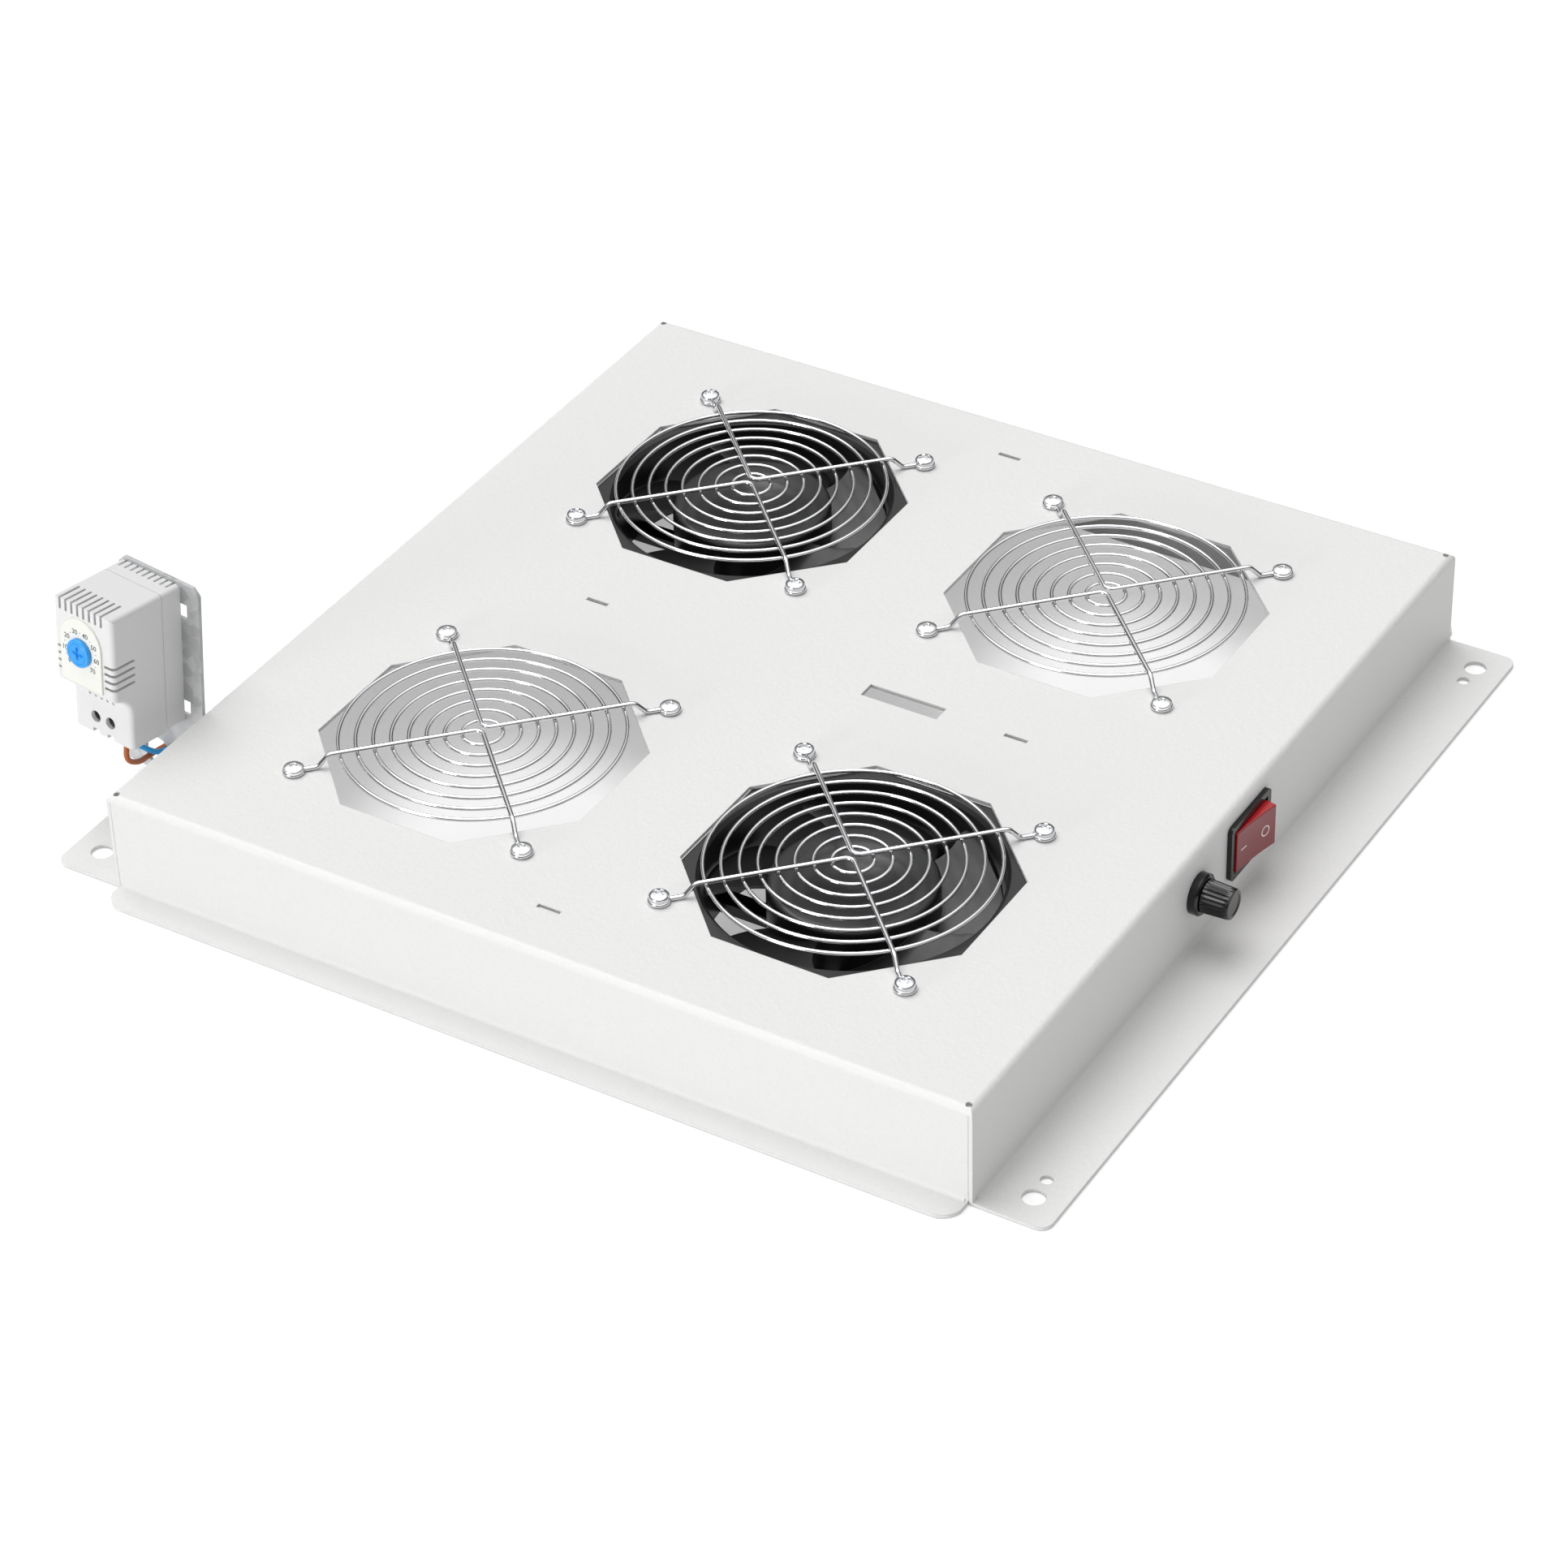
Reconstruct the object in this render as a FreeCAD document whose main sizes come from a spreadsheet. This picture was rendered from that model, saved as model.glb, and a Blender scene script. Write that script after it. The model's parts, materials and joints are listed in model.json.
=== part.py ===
"""Rack fan tray, 1U high, as a parametric FreeCAD document.

A folded steel tray carries four bays in a square.  Two of the bays hold an axial
fan with a wire finger guard, and the other two are open and hold only the guard.
A rocker switch and a fuse holder sit in the right wall, and a cabinet thermostat
stands beside the left wall on a galvanised bracket.

Millimetres.  +X runs to the right along the front edge, +Y to the back, +Z up.
The origin is the centre of the tray on the underside of its flanges, which is
also the centre of the rack bolt pattern.
"""
import FreeCAD
import Part

import math
import os

import Sketcher

Vector = FreeCAD.Vector
Rotation = FreeCAD.Rotation

DIMENSIONS = {
    # folded tray
    "tray_width": 380.0,
    "tray_length": 400.0,
    "tray_height": 44.0,
    "sheet_gauge": 1.5,
    "bend_radius": 3.0,
    "flange_bend_radius": 1.5,
    "side_flange_width": 30.0,
    "side_flange_corner": 5.0,
    "end_flange_width": 12.0,
    "end_flange_round": 9.0,
    "seam_gap": 0.3,
    "relief_diameter": 2.5,
    "rack_hole_diameter": 9.0,
    "rack_hole_inset_x": 12.5,
    "rack_hole_inset_y": 13.5,
    "alt_hole_diameter": 5.0,
    "alt_hole_inset_x": 13.0,
    "alt_hole_inset_y": 24.0,
    # fan bays
    "bay_offset_x": 83.0,
    "bay_offset_y": 100.0,
    "octagon_flats": 121.0,
    "fan_hole_spacing": 105.0,
    "fan_hole_diameter": 4.5,
    # lanced tie slots and the wiring window
    "tie_slot_length": 10.0,
    "tie_slot_width": 2.0,
    "tie_slot_offset_x": 96.0,
    "tie_slot_inset_y": 24.0,
    "tie_slot_shift_x": -3.0,
    "tie_slot_shift_y": 2.0,
    "lance_drop": 2.0,
    "lance_gauge": 1.2,
    "window_length": 34.0,
    "window_width": 8.0,
    "window_x": 46.0,
    "window_y": 2.0,
    # finger guards
    "guard_ring_count": 8,
    "guard_first_radius": 8.0,
    "guard_pitch": 6.87,
    "guard_ring_wire": 1.6,
    "guard_ring_height": 4.2,
    "guard_spoke_wire": 2.0,
    "guard_bend_radius": 3.5,
    "guard_bend_offset": 1.9,
    "guard_step_radius": 64.3,
    "guard_step_run": 4.0,
    "guard_eye_radius": 3.5,
    # fans
    "fan_size": 120.0,
    "fan_depth": 38.0,
    "fan_bore": 115.0,
    "fan_flange": 4.5,
    "fan_corner": 4.0,
    "fan_wall": 2.2,
    "fan_mouth_chamfer": 1.5,
    "motor_plate": 3.5,
    "motor_plate_diameter": 62.0,
    "strut_width": 8.0,
    "strut_height": 5.0,
    "strut_count": 4,
    "bearing_tube_diameter": 20.0,
    "bearing_tube_height": 25.0,
    "bearing_diameter": 16.0,
    "bearing_width": 5.0,
    "shaft_diameter": 6.0,
    "running_clearance": 0.03,
    "seat_clearance": 0.05,
    "hub_diameter": 66.0,
    "hub_height": 25.0,
    "hub_recess": 2.5,
    "hub_wall": 2.0,
    "hub_round": 2.5,
    "hub_boss_diameter": 12.0,
    "rotor_ring_gauge": 3.0,
    "rotor_ring_height": 20.0,
    "stator_height": 12.0,
    "stator_gap": 0.6,
    "stator_slot_width": 7.0,
    "coil_overhang": 3.0,
    "blade_count": 5,
    "blade_span": 62.0,
    "blade_height": 19.0,
    "blade_gauge": 1.8,
    "blade_sweep": 12.0,
    "blade_tip_clearance": 1.2,
    "blade_tip_round": 6.0,
    # fasteners
    "screw_diameter": 4.0,
    "screw_head_diameter": 8.0,
    "screw_head_height": 2.6,
    "screw_length": 16.0,
    "nut_flats": 7.0,
    "nut_height": 3.2,
    "rivet_head_diameter": 8.0,
    "rivet_head_height": 1.6,
    "rivet_diameter": 4.0,
    "rivet_tail_diameter": 6.0,
    "rivet_tail_height": 2.6,
    # rocker switch
    "switch_y": 13.7,
    "switch_z": 25.0,
    "bezel_length": 33.0,
    "bezel_height": 25.0,
    "bezel_gauge": 2.0,
    "bezel_corner": 2.5,
    "switch_body_length": 30.0,
    "switch_body_height": 22.0,
    "switch_body_depth": 25.0,
    "switch_wall": 1.3,
    "switch_well_depth": 15.0,
    "cutout_clearance": 0.15,
    "rocker_gap": 0.45,
    "rocker_pivot_depth": 2.0,
    "rocker_crown": 7.0,
    "rocker_half_length": 12.4,
    "rocker_skirt": 5.0,
    "rocker_dish": 0.6,
    "rocker_foot": 2.0,
    "lamp_pocket_width": 6.0,
    "lamp_pocket_cover": 3.0,
    "lamp_pocket_end": 2.0,
    "lamp_pocket_play": 1.0,
    "rocker_throw": 20.0,
    "rocker_pin_diameter": 3.0,
    "rocker_pin_length": 0.9,
    "spade_width": 6.3,
    "spade_gauge": 0.8,
    "spade_length": 8.0,
    "lamp_diameter": 3.6,
    "lamp_length": 9.0,
    # fuse holder
    "fuse_y": -27.5,
    "fuse_z": 24.4,
    "fuse_ring_diameter": 17.0,
    "fuse_ring_height": 4.0,
    "fuse_ring_break": 0.8,
    "fuse_body_diameter": 12.5,
    "fuse_body_depth": 34.0,
    "fuse_bore": 10.6,
    "fuse_cap_diameter": 13.5,
    "fuse_cap_end_diameter": 12.5,
    "fuse_cap_length": 11.5,
    "fuse_cap_gap": 0.3,
    "fuse_cap_break": 0.6,
    "fuse_socket_wall": 2.0,
    "fuse_plug_diameter": 10.0,
    "fuse_plug_length": 9.0,
    "fuse_nut_flats": 17.0,
    "fuse_tag_inset": 4.0,
    "fuse_nut_height": 4.0,
    "cartridge_diameter": 5.0,
    "cartridge_length": 20.0,
    "cartridge_cap_length": 5.0,
    "cartridge_glass_gauge": 0.6,
    "cartridge_cap_diameter": 5.2,
    # cabinet thermostat
    "thermostat_out": 26.8,
    "thermostat_setback": 66.5,
    "thermostat_lift": 34.5,
    "thermostat_turn": 8.0,
    "thermostat_lean": 5.0,
    "stat_width": 32.0,
    "stat_height": 62.0,
    "stat_depth": 37.0,
    "stat_sill_height": 15.5,
    "stat_brow_round": 2.5,
    "stat_brow_radius": 8.8,
    "stat_brow_slope": 15.4,
    "stat_base_depth": 10.0,
    "stat_wall": 1.8,
    "stat_round": 2.0,
    "stat_joint_gap": 0.1,
    "vent_width": 1.1,
    "vent_pitch": 3.2,
    "vent_overcut": 0.3,
    "top_vent_count": 8,
    "top_vent_run": 11.0,
    "top_vent_fall": 5.0,
    "back_vent_count": 9,
    "back_vent_run": 4.5,
    "back_vent_depth": 1.2,
    "side_vent_count": 4,
    "side_vent_height": 30.4,
    "side_vent_run": 11.5,
    "side_vent_margin": 5.0,
    "curve_vent_count": 5,
    "curve_vent_low": 17.0,
    "curve_vent_high": 25.0,
    "dial_height": 42.0,
    "dial_diameter": 12.0,
    "dial_reach": 1.6,
    "dial_shift": -1.0,
    "dial_recess_length": 6.0,
    "dial_recess_width": 1.2,
    "dial_recess_depth": 1.0,
    "dial_gap": 0.3,
    "dial_shaft_diameter": 4.0,
    "scale_width": 22.0,
    "scale_height": 30.0,
    "scale_gauge": 0.8,
    "access_hole_diameter": 5.0,
    "access_hole_pitch": 8.0,
    "access_hole_height": 7.5,
    "wire_notch_width": 3.4,
    "wire_notch_height": 1.8,
    "clamp_width": 7.0,
    "clamp_height": 8.0,
    "clamp_depth": 18.5,
    "clamp_screw_diameter": 4.0,
    "clamp_screw_reach": 2.5,
    "works_width": 20.0,
    "works_height": 16.0,
    "works_depth": 14.0,
    "works_seat": 3.0,
    "bimetal_width": 8.0,
    "bimetal_length": 26.0,
    "bimetal_gauge": 0.8,
    # thermostat bracket
    "plate_gauge": 1.5,
    "plate_left": 17.5,
    "plate_bite": 0.3,
    "plate_top": 1.5,
    "plate_drop": 30.0,
    "plate_chamfer": 3.0,
    "plate_slot_height": 6.5,
    "plate_slot_upper": 51.0,
    "plate_slot_lower": 7.0,
    "plate_slot_start": 4.0,
    "plate_slot_margin": 6.5,
    "cable_hole_diameter": 14.0,
    "cable_hole_drop": 21.0,
    "tab_length": 26.0,
    "tab_height": 28.0,
    "tab_base": 9.0,
    "tab_lead": 4.0,
    "tab_screw_front": 0.35,
    "tab_screw_back": 0.8,
    # cords
    "core_diameter": 2.3,
    "sheath_diameter": 5.4,
    "grommet_bore": 5.6,
    "grommet_groove": 8.0,
    "grommet_flange": 11.0,
    "grommet_lip": 1.6,
    "cable_entry_back": 41.5,
    "cable_entry_height": 15.0,
    "mains_grommet_z": 22.0,
    # terminal block
    "block_length": 24.0,
    "block_width": 17.0,
    "block_height": 13.0,
    "block_x": 74.0,
    "block_y": -13.0,
    "block_poles": 3,
    "block_screw_diameter": 4.2,
}

doc = FreeCAD.newDocument("rack_fan_tray")
sheet = doc.addObject("Spreadsheet::Sheet", "Dims")


class Size:
    """A number that keeps the spreadsheet expression it came from."""

    def __init__(self, value, text):
        self.value = value
        self.text = text

    def join(self, sign, other, swap=False):
        other = other if isinstance(other, Size) else Size(float(other), repr(float(other)))
        left, right = (other, self) if swap else (self, other)
        results = {
            "+": left.value + right.value,
            "-": left.value - right.value,
            "*": left.value * right.value,
            "/": left.value / right.value if sign == "/" else 0.0,
        }
        return Size(results[sign], "(" + left.text + " " + sign + " " + right.text + ")")

    def __add__(self, other):
        return self.join("+", other)

    def __radd__(self, other):
        return self.join("+", other, swap=True)

    def __sub__(self, other):
        return self.join("-", other)

    def __rsub__(self, other):
        return self.join("-", other, swap=True)

    def __mul__(self, other):
        return self.join("*", other)

    def __rmul__(self, other):
        return self.join("*", other, swap=True)

    def __truediv__(self, other):
        return self.join("/", other)

    def __neg__(self):
        return self.join("-", 0.0, swap=True)

    def __float__(self):
        return float(self.value)


class Dimensions:
    """The driving sizes, read by name: D.tray_width is a Size bound to its cell."""

    def __init__(self, table):
        for row, (name, value) in enumerate(table.items(), start=1):
            sheet.set("A%d" % row, name)
            sheet.set("B%d" % row, str(value))
            sheet.setAlias("B%d" % row, name)
            setattr(self, name, Size(float(value), "Dims." + name))


D = Dimensions(DIMENSIONS)
doc.recompute()
NODES = []


def as_size(value):
    """A plain number as a Size, so that both can stand in one outline."""
    return value if isinstance(value, Size) else Size(float(value), repr(float(value)))


def bind(target, name, size):
    """Tie one property of an object to a spreadsheet expression."""
    target.setExpression(name, as_size(size).text)


class Outline:
    """A fully constrained sketch on one of a body's origin planes."""

    def __init__(self, body, role, offset=0.0):
        self.sketch = body.newObject("Sketcher::SketchObject", "Sketch")
        features = body.Origin.OriginFeatures
        support = next(item for item in features if item.Role == role)
        self.sketch.AttachmentSupport = [(support, "")]
        self.sketch.MapMode = "FlatFace"
        bind(self.sketch, "AttachmentOffset.Base.z", offset)

    def pin(self, kind, geometry, point, size):
        """Hold one coordinate of a point at an expression."""
        size = as_size(size)
        rule = Sketcher.Constraint(kind, -1, 1, geometry, point, size.value)
        index = self.sketch.addConstraint(rule)
        self.sketch.setExpression("Constraints[%d]" % index, size.text)

    def circle(self, x, y, radius):
        x, y, radius = as_size(x), as_size(y), as_size(radius)
        centre = Vector(x.value, y.value, 0)
        index = self.sketch.addGeometry(Part.Circle(centre, Vector(0, 0, 1), radius.value))
        self.pin("DistanceX", index, 3, x)
        self.pin("DistanceY", index, 3, y)
        rule = self.sketch.addConstraint(Sketcher.Constraint("Radius", index, radius.value))
        self.sketch.setExpression("Constraints[%d]" % rule, radius.text)
        return self

    def polygon(self, points):
        """Closed outline.  A third entry bends the side that leaves a point.

        A positive radius turns left on its way to the next point.
        """
        points = [tuple(as_size(item) for item in point) for point in points]
        sides = []
        for here, there in zip(points, points[1:] + points[:1]):
            start = Vector(here[0].value, here[1].value, 0)
            end = Vector(there[0].value, there[1].value, 0)
            if len(here) == 2:
                index = self.sketch.addGeometry(Part.LineSegment(start, end))
                sides.append((index, 1, 2))
                continue
            radius = here[2].value
            centre = arc_centre(start, end, radius)
            ring = Part.Circle(centre, Vector(0, 0, 1), abs(radius))
            ends = [math.atan2(p.y - centre.y, p.x - centre.x) for p in (start, end)]
            ends = ends if radius > 0 else ends[::-1]
            index = self.sketch.addGeometry(Part.ArcOfCircle(ring, *ends))
            sides.append((index, 1, 2) if radius > 0 else (index, 2, 1))
        following = sides[1:] + sides[:1]
        for (index, first, last), (next_index, next_first, next_last) in zip(sides, following):
            self.sketch.addConstraint(
                Sketcher.Constraint("Coincident", index, last, next_index, next_first)
            )
        for (index, first, last), point in zip(sides, points):
            self.pin("DistanceX", index, first, point[0])
            self.pin("DistanceY", index, first, point[1])
            if len(point) == 3:
                length = abs(point[2].value)
                rule = self.sketch.addConstraint(Sketcher.Constraint("Radius", index, length))
                text = point[2].text if point[2].value > 0 else (-point[2]).text
                self.sketch.setExpression("Constraints[%d]" % rule, text)
        return self

    def rectangle(self, left, right, bottom, top):
        return self.polygon([(left, bottom), (right, bottom), (right, top), (left, top)])

    def centred(self, x, y, width, height):
        """A rectangle given by its centre and its whole width and height."""
        x, y, width, height = (as_size(item) for item in (x, y, width, height))
        return self.rectangle(
            x - width / 2, x + width / 2, y - height / 2, y + height / 2
        )


def arc_centre(start, end, radius):
    """Centre of the short arc between two points; a positive radius turns left."""
    chord = end - start
    half = chord.Length / 2
    height = math.sqrt(max(radius * radius - half * half, 0.0))
    left = Vector(-chord.y, chord.x, 0).normalize()
    return (start + end) * 0.5 + left * math.copysign(height, radius)


class Piece:
    """One PartDesign body: sketches and features of a single sub-part."""

    def __init__(self, label):
        self.body = doc.addObject("PartDesign::Body", label)
        self.body.Label = label
        self.label = label
        NODES.append(self.body)

    def outline(self, role="XY_Plane", offset=0.0):
        return Outline(self.body, role, offset)

    def feature(self, kind, outline, **settings):
        made = self.body.newObject("PartDesign::" + kind, kind)
        made.Profile = outline.sketch
        for name, value in settings.items():
            if isinstance(value, Size):
                bind(made, name, value)
            else:
                setattr(made, name, value)
        self.body.Tip = made
        return made

    def pad(self, outline, length, both=False, back=False):
        length = as_size(length)
        return self.feature("Pad", outline, Length=length, Midplane=both, Reversed=back)

    def pocket(self, outline, length=None, both=False, back=False):
        """Cut to a depth, or right through when no depth is given."""
        doc.recompute()
        before = self.body.Shape.Volume
        if length is None:
            made = self.feature("Pocket", outline, Type=1, Midplane=both, Reversed=back)
        else:
            length = as_size(length)
            made = self.feature("Pocket", outline, Length=length, Midplane=both, Reversed=back)
        doc.recompute()
        if self.body.Shape.Volume > before - 1e-3:
            raise RuntimeError(self.label + ": a pocket cut nothing")
        return made

    def revolve(self, outline, axis="H_Axis", angle=360.0):
        made = self.body.newObject("PartDesign::Revolution", "Revolution")
        made.Profile = outline.sketch
        made.ReferenceAxis = (outline.sketch, [axis])
        made.Angle = angle
        self.body.Tip = made
        return made

    def groove(self, outline, axis="H_Axis"):
        doc.recompute()
        before = self.body.Shape.Volume
        made = self.body.newObject("PartDesign::Groove", "Groove")
        made.Profile = outline.sketch
        made.ReferenceAxis = (outline.sketch, [axis])
        made.Angle = 360.0
        self.body.Tip = made
        doc.recompute()
        if self.body.Shape.Volume > before - 1e-3:
            raise RuntimeError(self.label + ": a groove cut nothing")
        return made

    def edges(self, test):
        """Names of the edges whose middle point and direction pass the test."""
        doc.recompute()
        names = []
        for index, edge in enumerate(self.body.Shape.Edges, start=1):
            low, high = edge.ParameterRange
            middle = edge.valueAt((low + high) / 2)
            along = edge.tangentAt((low + high) / 2)
            if test(middle, along, edge):
                names.append("Edge%d" % index)
        if not names:
            raise RuntimeError(self.label + ": no edge found to round")
        return names

    def round_edges(self, radius, test, kind="Fillet"):
        names = self.edges(test)
        base = self.body.Tip
        made = self.body.newObject("PartDesign::" + kind, kind)
        made.Base = (base, names)
        bind(made, "Radius" if kind == "Fillet" else "Size", radius)
        self.body.Tip = made
        return made

    def repeat_round(self, features, count, axis="Z_Axis"):
        """Spread features evenly round one of the body's axes."""
        origin = self.body.Origin.OriginFeatures
        line = next(item for item in origin if item.Role == axis)
        made = self.body.newObject("PartDesign::PolarPattern", "PolarPattern")
        made.Originals = features
        made.Axis = (line, [""])
        made.Angle = 360.0
        bind(made, "Occurrences", count)
        self.body.Tip = made
        return made

    def repeat_line(self, features, count, length, axis):
        """Spread features evenly along one of the body's axes."""
        origin = self.body.Origin.OriginFeatures
        line = next(item for item in origin if item.Role == axis)
        made = self.body.newObject("PartDesign::LinearPattern", "LinearPattern")
        made.Originals = features
        made.Direction = (line, [""])
        bind(made, "Length", length)
        made.Occurrences = count
        self.body.Tip = made
        return made

    def place(self, base, rotation=None):
        place_node(self.body, base, rotation)
        return self


def place_node(node, base, rotation=None):
    """Put a node at a bound position, turned by a plain rotation."""
    base = [as_size(item) for item in base]
    place = FreeCAD.Placement(Vector(*[item.value for item in base]), rotation or Rotation())
    node.Placement = place
    for axis, item in zip("xyz", base):
        if not isinstance(item, Size) or "Dims" in item.text:
            bind(node, "Placement.Base." + axis, item)


def add_shape(label, shape, placement=None):
    """A node whose shape comes straight from Part's own functions."""
    node = doc.addObject("Part::Feature", label)
    node.Label = label
    node.Shape = shape
    if placement is not None:
        node.Placement = placement
    NODES.append(node)
    return node


# ---------------------------------------------------------------- shared sizes
HALF_WIDTH = D.tray_width / 2
HALF_LENGTH = D.tray_length / 2
PLATE_UNDERSIDE = D.tray_height - D.sheet_gauge
FAN_SEAT = PLATE_UNDERSIDE - D.fan_depth
BAYS = {
    "back_left": (-1, 1),
    "back_right": (1, 1),
    "front_left": (-1, -1),
    "front_right": (1, -1),
}
FAN_BAYS = ("back_left", "front_right")
OPEN_BAYS = ("back_right", "front_left")
CORNERS = ((-1, -1), (1, -1), (1, 1), (-1, 1))
STAT_X = -(HALF_WIDTH + D.thermostat_out)
STAT_Y = D.thermostat_setback - HALF_LENGTH
CABLE_ENTRY_Y = STAT_Y + D.cable_entry_back


def bay_centre(bay):
    """Centre of a bay in the plane of the tray's top."""
    side, row = BAYS[bay]
    return side * D.bay_offset_x, row * D.bay_offset_y


def fastener_places(bays):
    """The four screw places of each named bay, as plain numbers."""
    places = []
    for bay in bays:
        x, y = bay_centre(bay)
        for side, row in CORNERS:
            reach = D.fan_hole_spacing / 2
            places.append((float(x + side * reach), float(y + row * reach)))
    return places


# ---------------------------------------------------------------- folded tray
def make_tray():
    """The folded sheet: top, four walls and four flanges, with every cut-out."""
    tray = Piece("tray_shell")
    gauge = D.sheet_gauge
    block = tray.outline().rectangle(-HALF_WIDTH, HALF_WIDTH, -HALF_LENGTH, HALF_LENGTH)
    tray.pad(block, D.tray_height)
    top = float(D.tray_height)
    tray.round_edges(
        D.bend_radius, lambda middle, along, edge: abs(middle.z - top) < 0.01
    )
    inner_x = HALF_WIDTH - gauge
    inner_y = HALF_LENGTH - gauge
    hollow = tray.outline().rectangle(-inner_x, inner_x, -inner_y, inner_y)
    tray.pocket(hollow, PLATE_UNDERSIDE, back=True)
    ceiling = float(PLATE_UNDERSIDE)
    tray.round_edges(
        D.bend_radius - gauge,
        lambda middle, along, edge: abs(middle.z - ceiling) < 0.01
        and max(abs(middle.x) / float(inner_x), abs(middle.y) / float(inner_y)) > 0.999,
    )
    add_flanges(tray, inner_x, inner_y)
    cut_corners(tray)
    cut_bays(tray)
    cut_flange_holes(tray)
    cut_walls(tray)
    add_lances(tray)
    return tray


def add_flanges(tray, inner_x, inner_y):
    """Turned-out flanges, wide on the sides and narrow with round ends in front."""
    outer_x = HALF_WIDTH + D.side_flange_width
    outer_y = HALF_LENGTH + D.end_flange_width
    step = D.end_flange_round
    sides = tray.outline()
    for sign in (-1, 1):
        sides.rectangle(sign * inner_x, sign * outer_x, -HALF_LENGTH, HALF_LENGTH)
    tray.pad(sides, D.sheet_gauge)
    ends = tray.outline()
    for sign in (-1, 1):
        bulge = sign * step
        ends.polygon(
            [
                (-inner_x, sign * inner_y),
                (inner_x, sign * inner_y),
                (inner_x, sign * (outer_y - step), bulge),
                (inner_x - step, sign * outer_y),
                (step - inner_x, sign * outer_y, bulge),
                (-inner_x, sign * (outer_y - step)),
            ]
        )
    tray.pad(ends, D.sheet_gauge)
    reach = float(outer_x)
    tray.round_edges(
        D.side_flange_corner,
        lambda middle, along, edge: abs(along.z) > 0.999 and abs(middle.x) > reach - 0.01,
    )
    bend_flange_roots(tray, "XZ_Plane", HALF_WIDTH, D.tray_length)
    bend_flange_roots(tray, "YZ_Plane", HALF_LENGTH, D.tray_width)


def bend_flange_roots(tray, role, wall, run):
    """Fold radii where two opposite walls turn out into their flanges."""
    inner = wall - D.sheet_gauge
    tight = D.flange_bend_radius
    wide = D.flange_bend_radius + D.sheet_gauge
    length = run - 2 * D.bend_radius
    fill = tray.outline(role)
    relief = tray.outline(role)
    for sign in (-1, 1):
        fill.polygon(
            [
                (sign * wall, D.sheet_gauge),
                (sign * (wall + tight), D.sheet_gauge, -sign * tight),
                (sign * wall, D.sheet_gauge + tight),
            ]
        )
        relief.polygon(
            [
                (sign * inner, 0),
                (sign * (inner + wide), 0, -sign * wide),
                (sign * inner, wide),
            ]
        )
    tray.pad(fill, length, both=True)
    tray.pocket(relief, length, both=True)


def cut_corners(tray):
    """The folds stay open at the corners: a fine seam under a relief hole."""
    relief = tray.outline()
    for side, row in CORNERS:
        relief.circle(
            side * (HALF_WIDTH - D.bend_radius),
            row * (HALF_LENGTH - D.bend_radius),
            D.relief_diameter / 2,
        )
    tray.pocket(relief, both=True)
    seam = tray.outline()
    inner_x = HALF_WIDTH - D.sheet_gauge
    inner_y = HALF_LENGTH - D.sheet_gauge
    spare = 1.0
    for side, row in CORNERS:
        seam.polygon(
            [
                (side * inner_x, row * (inner_y - spare)),
                (side * (inner_x - D.seam_gap), row * (inner_y - spare)),
                (side * (inner_x - D.seam_gap), row * (HALF_LENGTH + D.end_flange_width)),
                (side * inner_x, row * (HALF_LENGTH + D.end_flange_width)),
            ]
        )
    tray.pocket(seam, D.tray_height - D.bend_radius, back=True)


def cut_bays(tray):
    """Octagonal bays with their screw holes, and the wiring window."""
    openings = tray.outline()
    flat = D.octagon_flats / 2
    half_side = flat * math.tan(math.pi / 8)
    for bay in BAYS:
        x, y = bay_centre(bay)
        openings.polygon(
            [
                (x + flat, y - half_side),
                (x + flat, y + half_side),
                (x + half_side, y + flat),
                (x - half_side, y + flat),
                (x - flat, y + half_side),
                (x - flat, y - half_side),
                (x - half_side, y - flat),
                (x + half_side, y - flat),
            ]
        )
    openings.centred(D.window_x, D.window_y, D.window_length, D.window_width)
    tray.pocket(openings, D.tray_height, back=True)
    holes = tray.outline("XY_Plane", D.tray_height)
    for bay in BAYS:
        x, y = bay_centre(bay)
        for side, row in CORNERS:
            reach = D.fan_hole_spacing / 2
            holes.circle(x + side * reach, y + row * reach, D.fan_hole_diameter / 2)
    tray.pocket(holes, D.bend_radius)


def cut_flange_holes(tray):
    """Rack bolt holes, with a smaller second pattern beside them."""
    holes = tray.outline()
    outer_x = HALF_WIDTH + D.side_flange_width
    for side, row in CORNERS:
        holes.circle(
            side * (outer_x - D.rack_hole_inset_x),
            row * (HALF_LENGTH - D.rack_hole_inset_y),
            D.rack_hole_diameter / 2,
        )
        holes.circle(
            side * (outer_x - D.alt_hole_inset_x),
            row * (HALF_LENGTH - D.alt_hole_inset_y),
            D.alt_hole_diameter / 2,
        )
    tray.pocket(holes, D.bend_radius, back=True)


def cut_walls(tray):
    """Wall cut-outs for the switch, the fuse holder, the grommets and the tab."""
    spare = D.cutout_clearance
    right = tray.outline("YZ_Plane", HALF_WIDTH + D.sheet_gauge)
    right.centred(
        D.switch_y,
        D.switch_z,
        D.switch_body_length + 2 * spare,
        D.switch_body_height + 2 * spare,
    )
    right.circle(D.fuse_y, D.fuse_z, D.fuse_body_diameter / 2 + spare)
    tray.pocket(right, 3 * D.sheet_gauge)
    left = tray.outline("YZ_Plane", -(HALF_WIDTH + D.sheet_gauge))
    left.circle(CABLE_ENTRY_Y, D.cable_entry_height, D.grommet_groove / 2 + spare)
    for y, z in tab_screw_places():
        left.circle(y, z, D.fan_hole_diameter / 2)
    tray.pocket(left, 3 * D.sheet_gauge, back=True)
    back = tray.outline("XZ_Plane", -(HALF_LENGTH + D.sheet_gauge))
    back.circle(D.tie_slot_shift_x, D.mains_grommet_z, D.grommet_groove / 2 + spare)
    tray.pocket(back, 3 * D.sheet_gauge, back=True)


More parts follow.
